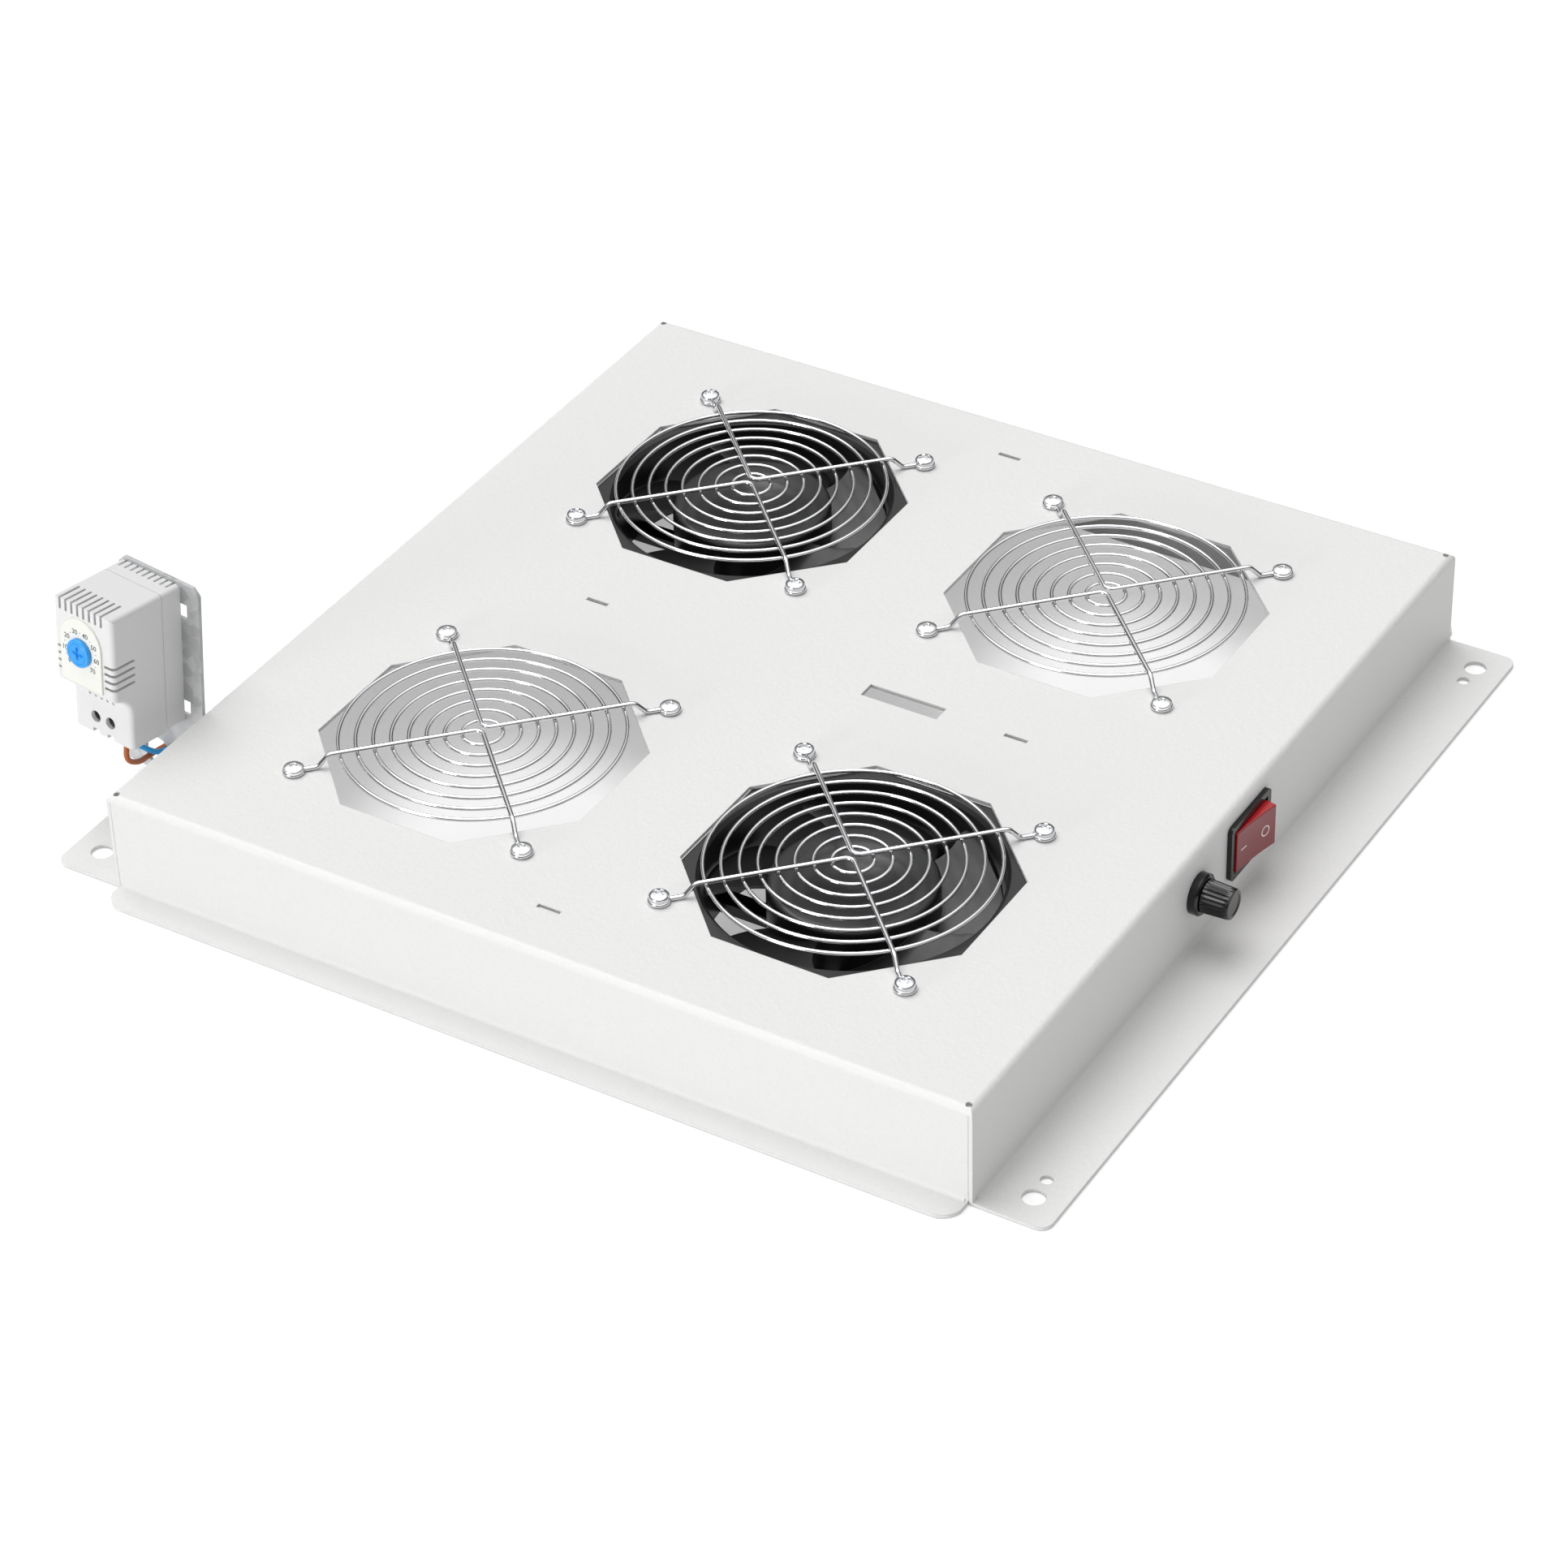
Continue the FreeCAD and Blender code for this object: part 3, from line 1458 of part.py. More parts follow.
def cut_vents(cover, wall):
    """Cooling slots over the front top edge, round both sides and on the curve."""
    deep = wall + D.vent_overcut
    past = 1.0
    front = -D.stat_depth
    half = D.stat_width / 2
    top = cover.outline("YZ_Plane", vent_start(D.top_vent_count) + D.dial_shift)
    top.polygon(
        [
            (front - past, D.stat_height - D.top_vent_fall),
            (front + deep, D.stat_height - D.top_vent_fall),
            (front + deep, D.stat_height - deep),
            (front + D.top_vent_run, D.stat_height - deep),
            (front + D.top_vent_run, D.stat_height + past),
            (front - past, D.stat_height + past),
        ]
    )
    repeat_vent(cover, cover.pocket(top, D.vent_width, both=True), D.top_vent_count, "X_Axis")
    for side in (-1, 1):
        wrap = cover.outline("XY_Plane", D.side_vent_height)
        wrap.polygon(
            [
                (side * (half + past), front - past),
                (side * (half - D.side_vent_margin), front - past),
                (side * (half - D.side_vent_margin), front + deep),
                (side * (half - deep), front + deep),
                (side * (half - deep), front + D.side_vent_run),
                (side * (half + past), front + D.side_vent_run),
            ]
        )
        cut = cover.pocket(wrap, D.vent_width, both=True)
        repeat_vent(cover, cut, D.side_vent_count, "Z_Axis")
    curve = cover.outline("YZ_Plane", vent_start(D.curve_vent_count))
    sill = front + brow_step()[0]
    curve.polygon(
        [
            (front - past, D.curve_vent_low),
            (sill + 0.5, D.curve_vent_low),
            (front + deep + past, D.curve_vent_high),
            (front - past, D.curve_vent_high),
        ]
    )
    cut = cover.pocket(curve, D.vent_width, both=True)
    repeat_vent(cover, cut, D.curve_vent_count, "X_Axis")
    notch = cover.outline("XZ_Plane", -sill + past)
    notch_half = D.wire_notch_width / 2
    for side in (-1, 1):
        middle = side * D.access_hole_pitch / 2
        notch.rectangle(middle - notch_half, middle + notch_half, -past, D.wire_notch_height)
    cover.pocket(notch, wall + past + 2)


def vent_start(count):
    """Place of the first of a row of slots about the middle."""
    return -D.vent_pitch * (count - 1) / 2


def repeat_vent(piece, cut, count, axis):
    """Repeat one slot to a whole row along an axis."""
    number = int(float(count))
    piece.repeat_line([cut], number, D.vent_pitch * (number - 1), axis)


def make_thermostat_base(base, turn, wall):
    """Rear tray of the housing, with the rail clip, works and terminals on it."""
    rear = Piece("thermostat_base")
    half = D.stat_width / 2
    gap = D.stat_joint_gap
    plan = rear.outline("XZ_Plane").rectangle(-half, half, 0, D.stat_height)
    rear.pad(plan, D.stat_base_depth - gap)
    rear.round_edges(D.stat_round, lambda middle, along, edge: abs(along.y) > 0.999)
    well = rear.outline("XZ_Plane", D.stat_base_depth)
    well.rectangle(-half + wall, half - wall, wall, D.stat_height - wall)
    rear.pocket(well, D.stat_base_depth - D.works_seat)
    notch = rear.outline("YZ_Plane", vent_start(D.back_vent_count))
    notch.rectangle(
        -D.back_vent_run, 1.0, D.stat_height - D.back_vent_depth, D.stat_height + 1
    )
    repeat_vent(rear, rear.pocket(notch, D.vent_width, both=True), D.back_vent_count, "X_Axis")
    rear.place(base, turn)
    make_stat_works(base, turn)


def make_stat_works(base, turn):
    """Switch block, bimetal strip and two terminal clamps with their screws."""
    seat = D.works_seat
    works = Piece("thermostat_switch")
    block = works.outline("XZ_Plane", seat)
    block.centred(D.dial_shift, D.dial_height, D.works_width, D.works_height)
    works.pad(block, D.works_depth)
    works.place(base, turn)
    metal = Piece("thermostat_bimetal")
    strip = metal.outline("XZ_Plane", seat + D.works_depth)
    strip.centred(D.dial_shift, D.dial_height, D.bimetal_width, D.bimetal_length)
    metal.pad(strip, D.bimetal_gauge)
    metal.place(base, turn)
    clamps = Piece("thermostat_terminals")
    clamps.body.AllowCompound = True
    bars = clamps.outline("XZ_Plane", seat)
    screws = Piece("thermostat_screws")
    screws.body.AllowCompound = True
    heads = screws.outline("XZ_Plane", seat + D.clamp_depth + D.seat_clearance)
    for side in (-1, 1):
        middle = side * D.access_hole_pitch / 2
        bars.centred(middle, D.access_hole_height, D.clamp_width, D.clamp_height)
        heads.circle(middle, D.access_hole_height, D.clamp_screw_diameter / 2)
    clamps.pad(bars, D.clamp_depth)
    clamps.place(base, turn)
    screws.pad(heads, D.clamp_screw_reach)
    screws.place(base, turn)


def make_dial(base, turn):
    """Setting dial on its spindle, in front of the scale plate."""
    scale = Piece("scale_plate")
    half = D.scale_width / 2
    low = D.stat_sill_height + brow_step()[1] + 0.5
    shoulder = low + D.scale_height - half
    arch = scale.outline("XZ_Plane", D.stat_depth)
    arch.polygon(
        [
            (D.dial_shift - half, low),
            (D.dial_shift + half, low),
            (D.dial_shift + half, shoulder, half * 1.001),
            (D.dial_shift - half, shoulder),
        ]
    )
    scale.pad(arch, D.scale_gauge)
    eye = scale.outline("XZ_Plane", D.stat_depth - 1)
    eye.circle(D.dial_shift, D.dial_height, D.dial_shaft_diameter / 2 + D.dial_gap)
    scale.pocket(eye, back=True)
    scale.place(base, turn)
    dial = Piece("thermostat_dial")
    seat = D.stat_depth + D.scale_gauge + D.dial_gap
    inside = D.works_seat + D.works_depth + D.bimetal_gauge + D.dial_gap
    knob = dial.outline("XZ_Plane", seat).circle(0, 0, D.dial_diameter / 2)
    dial.pad(knob, D.dial_reach)
    spindle = dial.outline("XZ_Plane", seat).circle(0, 0, D.dial_shaft_diameter / 2)
    dial.pad(spindle, seat - inside, back=True)
    long_side, short_side = D.dial_recess_length, D.dial_recess_width
    for width, height in ((long_side, short_side), (short_side, long_side)):
        slot = dial.outline("XZ_Plane", seat + D.dial_reach)
        slot.centred(0, 0, width, height)
        dial.pocket(slot, D.dial_recess_depth)
    place = FreeCAD.Placement(Vector(*[float(item) for item in base]), turn)
    centre = place.multVec(Vector(float(D.dial_shift), 0, float(D.dial_height)))
    dial.place(tuple(centre), turn)


# ------------------------------------------------------------ bracket
def make_bracket():
    """Galvanised plate behind the thermostat, bent back into a tab on the wall."""
    base, turn = stat_place()
    plate = Piece("bracket_plate_form")
    NODES.remove(plate.body)
    left = -D.plate_left
    tilt = math.cos(math.radians(float(D.thermostat_turn)))
    right = (D.thermostat_out - D.plate_gauge + D.plate_bite) / tilt
    top = D.stat_height + D.plate_top
    cut = D.plate_chamfer
    face = plate.outline("XZ_Plane", -D.plate_gauge).polygon(
        [
            (left, -D.plate_drop),
            (right, -D.plate_drop),
            (right, top - cut),
            (right - cut, top),
            (left + cut, top),
            (left, top - cut),
        ]
    )
    plate.pad(face, D.plate_gauge)
    holes = plate.outline("XZ_Plane", -D.plate_gauge - 1)
    holes.circle(0, -D.cable_hole_drop, D.cable_hole_diameter / 2)
    for height in (D.plate_slot_upper, D.plate_slot_lower):
        holes.rectangle(
            D.plate_slot_start,
            right - D.plate_slot_margin,
            height - D.plate_slot_height / 2,
            height + D.plate_slot_height / 2,
        )
    plate.pocket(holes, back=True)
    plate.place(base, turn)
    tab = Piece("bracket_tab_form")
    NODES.remove(tab.body)
    wing = tab.outline("YZ_Plane")
    wing.rectangle(
        STAT_Y - D.tab_lead, STAT_Y + D.tab_length, D.tab_base, D.tab_base + D.tab_height
    )
    tab.pad(wing, D.plate_gauge, back=True)
    holes = tab.outline("YZ_Plane", 1.0)
    for y, z in tab_screw_places():
        holes.circle(y, z, D.fan_hole_diameter / 2)
    tab.pocket(holes)
    tab.place((-HALF_WIDTH, 0, 0))
    doc.recompute()
    wall = Part.makeBox(50, 400, 200, Vector(-float(HALF_WIDTH), -400, -50))
    shape = plate.body.Shape.fuse(tab.body.Shape).cut(wall)
    add_shape("thermostat_bracket", shape)
    screw = doc.getObject("pan_screw_form")
    nut = doc.getObject("nut_form")
    outward = Rotation(Vector(0, 1, 0), -90)
    screws, nuts = [], []
    for y, z in tab_screw_places():
        seat = -float(HALF_WIDTH + D.plate_gauge)
        copy = screw.Shape.copy()
        copy.Placement = FreeCAD.Placement(Vector(seat, float(y), float(z)), outward)
        screws.append(copy)
        copy = nut.Shape.copy()
        place = -float(HALF_WIDTH - D.sheet_gauge)
        copy.Placement = FreeCAD.Placement(Vector(place, float(y), float(z)), outward)
        nuts.append(copy)
    add_shape("bracket_screws", Part.makeCompound(screws))
    add_shape("bracket_nuts", Part.makeCompound(nuts))


# ------------------------------------------------------- cords and grommets
def rounded_path(points):
    """Straight runs joined by tangent arcs, each as large as its runs allow."""
    edges = []
    radii = []
    last = points[0]
    for before, here, after in zip(points, points[1:], points[2:]):
        back = (before - here)
        ahead = (after - here)
        run = min(back.Length, ahead.Length)
        turn = math.pi - back.getAngle(ahead)
        trim = 0.45 * run
        radii.append(trim / math.tan(turn / 2))
        start = here + back.normalize() * trim
        end = here + ahead.normalize() * trim
        bisector = (start + end) * 0.5 - here
        depth = radii[-1] / math.cos(turn / 2) - radii[-1]
        middle = here + bisector.normalize() * depth
        edges.append(Part.LineSegment(last, start).toShape())
        edges.append(Part.Arc(start, middle, end).toShape())
        last = end
    edges.append(Part.LineSegment(last, points[-1]).toShape())
    return Part.Wire(edges), radii


def add_cord(label, points, diameter):
    """A plain tube along its route, with its volume compared with its length."""
    points = [Vector(*point) for point in points]
    path, radii = rounded_path(points)
    tube = swept_wire(path, points[0], points[1] - points[0], float(diameter))
    expected = math.pi * float(diameter) ** 2 / 4 * path.Length
    print(label, "radii", [round(r, 1) for r in radii], "volume", round(tube.Volume / expected, 3))
    return add_shape(label, tube)


def grommet(label, base, flip):
    """Rubber grommet: a groove between two lips, on one of the walls."""
    piece = Piece(label)
    bore = D.grommet_bore / 2
    groove = D.grommet_groove / 2
    lip = D.grommet_flange / 2
    gauge = D.sheet_gauge
    half = gauge / 2
    edge = half + D.grommet_lip
    profile = piece.outline().polygon(
        [
            (-edge, bore),
            (-edge, lip),
            (-half, lip),
            (-half, groove),
            (half, groove),
            (half, lip),
            (edge, lip),
            (edge, bore),
        ]
    )
    piece.revolve(profile)
    piece.place(base, Rotation(Vector(0, 0, 1), flip))
    return piece


def core_entries():
    """Where the two cores rise into the thermostat's terminals."""
    half = float(D.access_hole_pitch) / 2
    return (half - 1.0, -19.5), (-half, -13.0)


def make_cords():
    """Thermostat cores and cable, grommets and the leads under the tray."""
    base, turn = stat_place()
    place = FreeCAD.Placement(Vector(*[float(item) for item in base]), turn)
    drop = -float(D.cable_hole_drop)
    seat = D.access_hole_height - D.clamp_height / 2
    brown, blue = core_entries()
    side = float(D.core_diameter) / 2 + 0.2
    end = float(D.plate_gauge) + 6.4
    cores = {
        "core_brown": [
            (*brown, seat), (*brown, -5.5), (3.0, -20.5, -14.0), (1.5, -12.5, -19.4),
            (-1.0, -5.0, -21.0), (-side, 2.0, drop), (-side, end, drop),
        ],
        "core_blue": [
            (*blue, seat), (*blue, -5.5), (-2.5, -10.5, -12.5), (0.6, -5.5, -17.2),
            (side, 0.5, drop), (side, end, drop),
        ],
    }
    for label, points in cores.items():
        route = [Vector(*[float(item) for item in point]) for point in points]
        add_cord(label, [place.multVec(point) for point in route], D.core_diameter)
    wall = -float(HALF_WIDTH)
    entry = (wall, float(CABLE_ENTRY_Y), float(D.cable_entry_height))
    start = place.multVec(Vector(0, end, drop))
    add_cord(
        "thermostat_cable",
        [
            tuple(start),
            tuple(place.multVec(Vector(0, end + 9, drop))),
            (start.x + 6, start.y + 18, start.z + 2),
            (wall - 13, entry[1] - 2, entry[2]),
            (wall - 5, entry[1], entry[2]),
            (wall + 5, entry[1], entry[2]),
        ],
        D.sheath_diameter,
    )
    centre = HALF_WIDTH - D.sheet_gauge / 2
    grommet("cable_grommet", (-centre, CABLE_ENTRY_Y, D.cable_entry_height), 0)
    back = HALF_LENGTH - D.sheet_gauge / 2
    grommet("mains_grommet", (D.tie_slot_shift_x, back, D.mains_grommet_z), 90)


# ------------------------------------------------------------ terminal block
def make_terminal_block():
    """Three-pole strip screwed under the top, where the leads meet."""
    block = Piece("terminal_block")
    top = PLATE_UNDERSIDE
    low = top - D.block_height
    plan = block.outline("XY_Plane", low)
    plan.centred(0, 0, D.block_length, D.block_width)
    block.pad(plan, D.block_height)
    wells = block.outline("XY_Plane", low - 1)
    pitch = D.block_length / D.block_poles
    for pole in range(-1, 2):
        for row in (-1, 1):
            wells.circle(pole * pitch, row * D.block_width / 4, D.block_screw_diameter / 2)
    block.pocket(wells, D.block_height / 2 + 1, back=True)
    block.place((D.block_x, D.block_y, 0))
    screws = Piece("terminal_screws")
    screws.body.AllowCompound = True
    heads = screws.outline("XY_Plane", low + D.block_height / 2)
    for pole in range(-1, 2):
        for row in (-1, 1):
            radius = D.block_screw_diameter / 2 - D.seat_clearance
            heads.circle(pole * pitch, row * D.block_width / 4, radius)
    screws.pad(heads, 3.0, back=True)
    screws.place((D.block_x, D.block_y, 0))


# --------------------------------------------------------------------- build
def check_document():
    """Stop if any object failed, or if a node is empty, broken or not closed."""
    doc.recompute()
    for item in doc.Objects:
        if "Invalid" in item.State or "Error" in item.State:
            raise RuntimeError(item.Label + " failed: " + ", ".join(item.State))
    for node in NODES:
        if node.Shape.isNull() or not node.Shape.isValid() or not node.Shape.Solids:
            raise RuntimeError(node.Label + " has no valid solid")


def write_parts():
    os.makedirs("parts", exist_ok=True)
    for node in NODES:
        node.Shape.exportStep(os.path.join("parts", node.Label + ".step"))
        print(node.Label, len(node.Shape.Solids), "solids")


make_tray()
make_guards()
make_fans()
make_fasteners()
make_switch()
make_fuse_holder()
make_thermostat()
make_bracket()
make_cords()
make_terminal_block()
check_document()
write_parts()
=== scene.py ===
"""Finishes, wires, cords and studio of a rack fan tray, built round its fixed frame.

Sizes in the classes are millimetres and are turned to metres where a mesh is made.
"""

import json
import logging
import math
from dataclasses import dataclass
from enum import Enum

import bpy
import numpy as np
from mathutils import Matrix, Vector


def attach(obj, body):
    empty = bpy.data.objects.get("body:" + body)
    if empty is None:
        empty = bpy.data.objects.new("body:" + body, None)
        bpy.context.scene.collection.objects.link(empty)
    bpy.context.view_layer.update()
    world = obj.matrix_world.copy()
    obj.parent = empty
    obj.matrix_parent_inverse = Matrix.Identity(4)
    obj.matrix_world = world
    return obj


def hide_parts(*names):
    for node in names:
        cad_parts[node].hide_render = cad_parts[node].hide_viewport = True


MM = 0.001
LOG = logging.getLogger("fan_tray")
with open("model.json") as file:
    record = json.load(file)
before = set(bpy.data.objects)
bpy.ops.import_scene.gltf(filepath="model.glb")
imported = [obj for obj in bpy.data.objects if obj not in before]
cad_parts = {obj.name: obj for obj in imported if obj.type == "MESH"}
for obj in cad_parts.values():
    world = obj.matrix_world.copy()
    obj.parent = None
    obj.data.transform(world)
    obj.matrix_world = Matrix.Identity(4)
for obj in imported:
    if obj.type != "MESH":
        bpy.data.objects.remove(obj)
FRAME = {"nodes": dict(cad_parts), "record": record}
# From the tray's middle to a bay's, and from there to its fasteners.
BAY_OFFSET = (83.0, 100.0)
FASTENER_REACH = 52.5
# Edges that turn more than this stay sharp.
SHARP_DEGREES = 42.0


class Bay(Enum):
    """The four bays, each with the signs of its centre's X and Y."""

    BACK_LEFT = (-1, 1)
    BACK_RIGHT = (1, 1)
    FRONT_LEFT = (-1, -1)
    FRONT_RIGHT = (1, -1)

    @property
    def label(self) -> str:
        """Ending of the bay's node names."""
        return self.name.lower()

    def centre(self, height: float) -> tuple:
        """Middle of the bay at a height."""
        return (self.value[0] * BAY_OFFSET[0], self.value[1] * BAY_OFFSET[1], height)


FAN_BAYS = (Bay.BACK_LEFT, Bay.FRONT_RIGHT)
OPEN_BAYS = (Bay.BACK_RIGHT, Bay.FRONT_LEFT)


# ------------------------------------------------------------------ surfaces
@dataclass
class Surface:
    """Vertices in millimetres and faces as rows of vertex numbers."""

    points: np.ndarray
    faces: list

    def moved(self, offset: tuple, turn: np.ndarray | None = None) -> "Surface":
        """Turns the surface about the origin, then shifts it.

        Args:
            offset: Shift in millimetres.
            turn: Rotation matrix of three rows, or None for no turn.

        Returns:
            The placed copy.
        """
        points = self.points if turn is None else self.points @ turn.T
        return Surface(points + np.asarray(offset, float), self.faces)

    @staticmethod
    def joined(parts: list) -> "Surface":
        """Puts several surfaces into one, renumbering their faces.

        Args:
            parts: Surfaces to put together.

        Returns:
            One surface with all their points and faces.
        """
        starts = np.cumsum([0] + [len(part.points) for part in parts])
        faces = []
        for part, start in zip(parts, starts):
            faces.extend([[index + int(start) for index in face] for face in part.faces])
        return Surface(np.vstack([part.points for part in parts]), faces)


def grid_faces(rows: int, columns: int, wrap_rows: bool, wrap_columns: bool) -> list:
    """Quads between neighbouring rows and columns of a grid of points.

    Args:
        rows: Number of rows of points.
        columns: Number of points in a row.
        wrap_rows: Whether the last row joins the first.
        wrap_columns: Whether each row closes on itself.

    Returns:
        Faces that point to the left of the row direction.
    """
    i, j = np.meshgrid(
        np.arange(rows - (not wrap_rows)), np.arange(columns - (not wrap_columns)), indexing="ij"
    )
    above = (i + 1) % rows
    beside = (j + 1) % columns
    quads = np.stack(
        [i * columns + j, above * columns + j, above * columns + beside, i * columns + beside],
        axis=-1,
    )
    return quads.reshape(-1, 4).tolist()


def run_faces(rows: int, sides: int) -> list:
    """Faces of a run of rings with a cap on its first and last ring.

    Args:
        rows: Number of rings.
        sides: Points in a ring.

    Returns:
        Quads between the rings, then the two caps.
    """
    first = list(range(sides))
    last = [(rows - 1) * sides + index for index in reversed(first)]
    return grid_faces(rows, sides, False, True) + [first, last]


def flipped(faces: list) -> list:
    """The same faces, looking the other way."""
    return [face[::-1] for face in faces]


def tube(path: np.ndarray, radius: float, sides: int = 12, closed: bool = False) -> Surface:
    """Round wire: at each path point, centre + radius (cos a side + sin a up).

    The side vector is the tangent crossed with +Z, and up is side crossed with the tangent.

    Args:
        path: Centre line, one row for each point.
        radius: Wire radius.
        sides: Points round the wire.
        closed: Whether the wire is a ring.

    Returns:
        The wire's skin, capped when it is open.
    """
    if closed:
        tangent = np.roll(path, -1, axis=0) - np.roll(path, 1, axis=0)
    else:
        tangent = np.gradient(path, axis=0)
    tangent /= np.linalg.norm(tangent, axis=1, keepdims=True)
    side = np.cross(tangent, [0.0, 0.0, 1.0])
    side /= np.linalg.norm(side, axis=1, keepdims=True)
    up = np.cross(side, tangent)
    angle = np.linspace(0, 2 * np.pi, sides, endpoint=False)[None, :, None]
    skin = path[:, None] + radius * (np.cos(angle) * side[:, None] + np.sin(angle) * up[:, None])
    faces = grid_faces(len(path), sides, True, True) if closed else run_faces(len(path), sides)
    return Surface(skin.reshape(-1, 3), faces)


def circle_path(radius: float, centre: tuple, count: int) -> np.ndarray:
    """Points centre + radius (cos a, sin a, 0) over a whole turn.

    Args:
        radius: Ring radius.
        centre: Ring centre.
        count: Number of points.

    Returns:
        One row for each point.
    """
    angle = np.linspace(0, 2 * np.pi, count, endpoint=False)
    flat = np.stack([np.cos(angle), np.sin(angle), np.zeros(count)], axis=1)
    return np.asarray(centre, float) + radius * flat


def bent_path(corners: list, radius: float, steps: int = 7) -> np.ndarray:
    """Straight runs whose corners are blended by quadratic curves.

    Each corner is replaced by (1-t)^2 start + 2t(1-t) corner + t^2 end, where start and
    end lie one radius away along its two runs.

    Args:
        corners: Points that the path turns at.
        radius: How far from each corner its bend starts.
        steps: Points in one bend.

    Returns:
        One row for each point.
    """
    knots = np.asarray(corners, float)
    t = np.linspace(0, 1, steps)[:, None]
    rows = [knots[:1]]
    for before, here, after in zip(knots, knots[1:], knots[2:]):
        back = (before - here) / np.linalg.norm(before - here)
        ahead = (after - here) / np.linalg.norm(after - here)
        start = here + back * radius
        end = here + ahead * radius
        rows.append((1 - t) ** 2 * start + 2 * t * (1 - t) * here + t**2 * end)
    rows.append(knots[-1:])
    return np.vstack(rows)


def lathe(profile: list, sides: int = 48) -> Surface:
    """Turned solid: (r cos a, r sin a, z) for each (r, z) of a profile.

    The profile runs from the foot on the axis to the top on the axis.

    Args:
        profile: Pairs of radius and height.
        sides: Points round the axis.

    Returns:
        The closed skin.
    """
    rows = np.asarray(profile, float)
    angle = np.linspace(0, 2 * np.pi, sides, endpoint=False)
    ring = np.stack([np.cos(angle), np.sin(angle)], axis=-1)
    flat = rows[1:-1, 0][:, None, None] * ring[None]
    height = np.broadcast_to(rows[1:-1, 1][:, None, None], flat.shape[:2] + (1,))
    body = np.concatenate([flat, height], axis=2).reshape(-1, 3)
    faces = flipped(grid_faces(len(rows) - 2, sides, False, True))
    foot = len(body)
    last = foot - sides
    for index in range(sides):
        beside = (index + 1) % sides
        faces.append([foot, beside, index])
        faces.append([foot + 1, last + index, last + beside])
    ends = [[0, 0, rows[0, 1]], [0, 0, rows[-1, 1]]]
    return Surface(np.vstack([body, ends]), faces)


def rounded(corners: list, radius: float, steps: int = 5) -> list:
    """Profile whose inner corners are blended as in bent_path.

    Args:
        corners: Pairs of radius and height.
        radius: How far from a corner its bend starts.
        steps: Points in one bend.

    Returns:
        Pairs of radius and height.
    """
    path = bent_path([(r, z, 0.0) for r, z in corners], radius, steps)
    return [(float(r), float(z)) for r, z, _ in path]


def disc_field(radius: float, height, count: int = 40) -> np.ndarray:
    """Square grid pressed into a disc, and the height of each of its points.

    A point (u, v) of the square goes to (u sqrt(1 - v^2/2), v sqrt(1 - u^2/2)) times the
    radius, so that fine marks across the middle keep straight edges.

    Args:
        radius: Disc radius.
        height: Function of x and y arrays that gives z.
        count: Points along one side of the square.

    Returns:
        The points, as rows and columns of the grid.
    """
    u, v = np.meshgrid(np.linspace(-1, 1, count), np.linspace(-1, 1, count), indexing="ij")
    x = radius * u * np.sqrt(1 - v**2 / 2)
    y = radius * v * np.sqrt(1 - u**2 / 2)
    return np.stack([x, y, height(x, y)], axis=-1)


def capped_disc(radius: float, height, foot: float, count: int = 40) -> Surface:
    """Disc with a shaped top, a straight side down to the foot and a flat underside.

    Args:
        radius: Disc radius.
        height: Function of x and y arrays that gives the top's z.
        foot: Height of the underside.
        count: Points along one side of the grid.

    Returns:
        The closed skin.
    """
    top = disc_field(radius, height, count)
    under = top.copy()
    under[..., 2] = foot
    quads = np.asarray(grid_faces(count, count, False, False))
    index = np.arange(count * count).reshape(count, count)
    rim = np.concatenate([index[0, :-1], index[:-1, -1], index[-1, :0:-1], index[:0:-1, 0]])
    beside = np.roll(rim, -1)
    shift = count * count
    side = np.stack([rim, beside, beside + shift, rim + shift], axis=1)
    faces = quads.tolist() + (quads[:, ::-1] + shift).tolist() + side.tolist()
    return Surface(np.vstack([top.reshape(-1, 3), under.reshape(-1, 3)]), faces)


def cross_recess(x: np.ndarray, y: np.ndarray, reach: float, width: float) -> np.ndarray:
    """Depth share, 0 to 1, of a driver recess of two crossed slots with sloping ends.

    It is the larger of the two slots' shares, each (width - across) times (reach - along)
    with both factors clipped to 0..1 over a slope of 0.25 and 0.9 mm.

    Args:
        x: First coordinate.
        y: Second coordinate.
        reach: Half length of a slot.
        width: Half width of a slot.

    Returns:
        The share at each point.
    """

    def slot(along: np.ndarray, across: np.ndarray) -> np.ndarray:
        """Share of one slot."""
        inside = np.clip((width - np.abs(across)) / 0.25 + 0.5, 0, 1)
        return inside * np.clip((reach - np.abs(along)) / 0.9, 0, 1)

    return np.maximum(slot(x, y), slot(y, x))


def add_object(name: str, data) -> bpy.types.Object:
    """Makes an object of a mesh, curve, lamp or camera and links it to the scene."""
    made = bpy.data.objects.new(name, data)
    bpy.context.scene.collection.objects.link(made)
    return made


def make_piece(name: str, skin: Surface, material: bpy.types.Material, body: str) -> bpy.types.Object:
    """Makes one smooth-shaded object that rides on a body.

    Args:
        name: Object name.
        skin: Its surface, in millimetres in the object's frame.
        material: Its finish.
        body: The body that carries it.

    Returns:
        The object.
    """
    mesh = bpy.data.meshes.new(name)
    mesh.from_pydata((skin.points * MM).tolist(), [], skin.faces)
    mesh.validate()
    mesh.polygons.foreach_set("use_smooth", np.ones(len(mesh.polygons), bool))
    mesh.set_sharp_from_angle(angle=math.radians(SHARP_DEGREES))
    mesh.materials.append(material)
    piece = add_object(name, mesh)
    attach(piece, body)
    LOG.info("%s: %d faces on %s", name, len(mesh.polygons), body)
    return piece


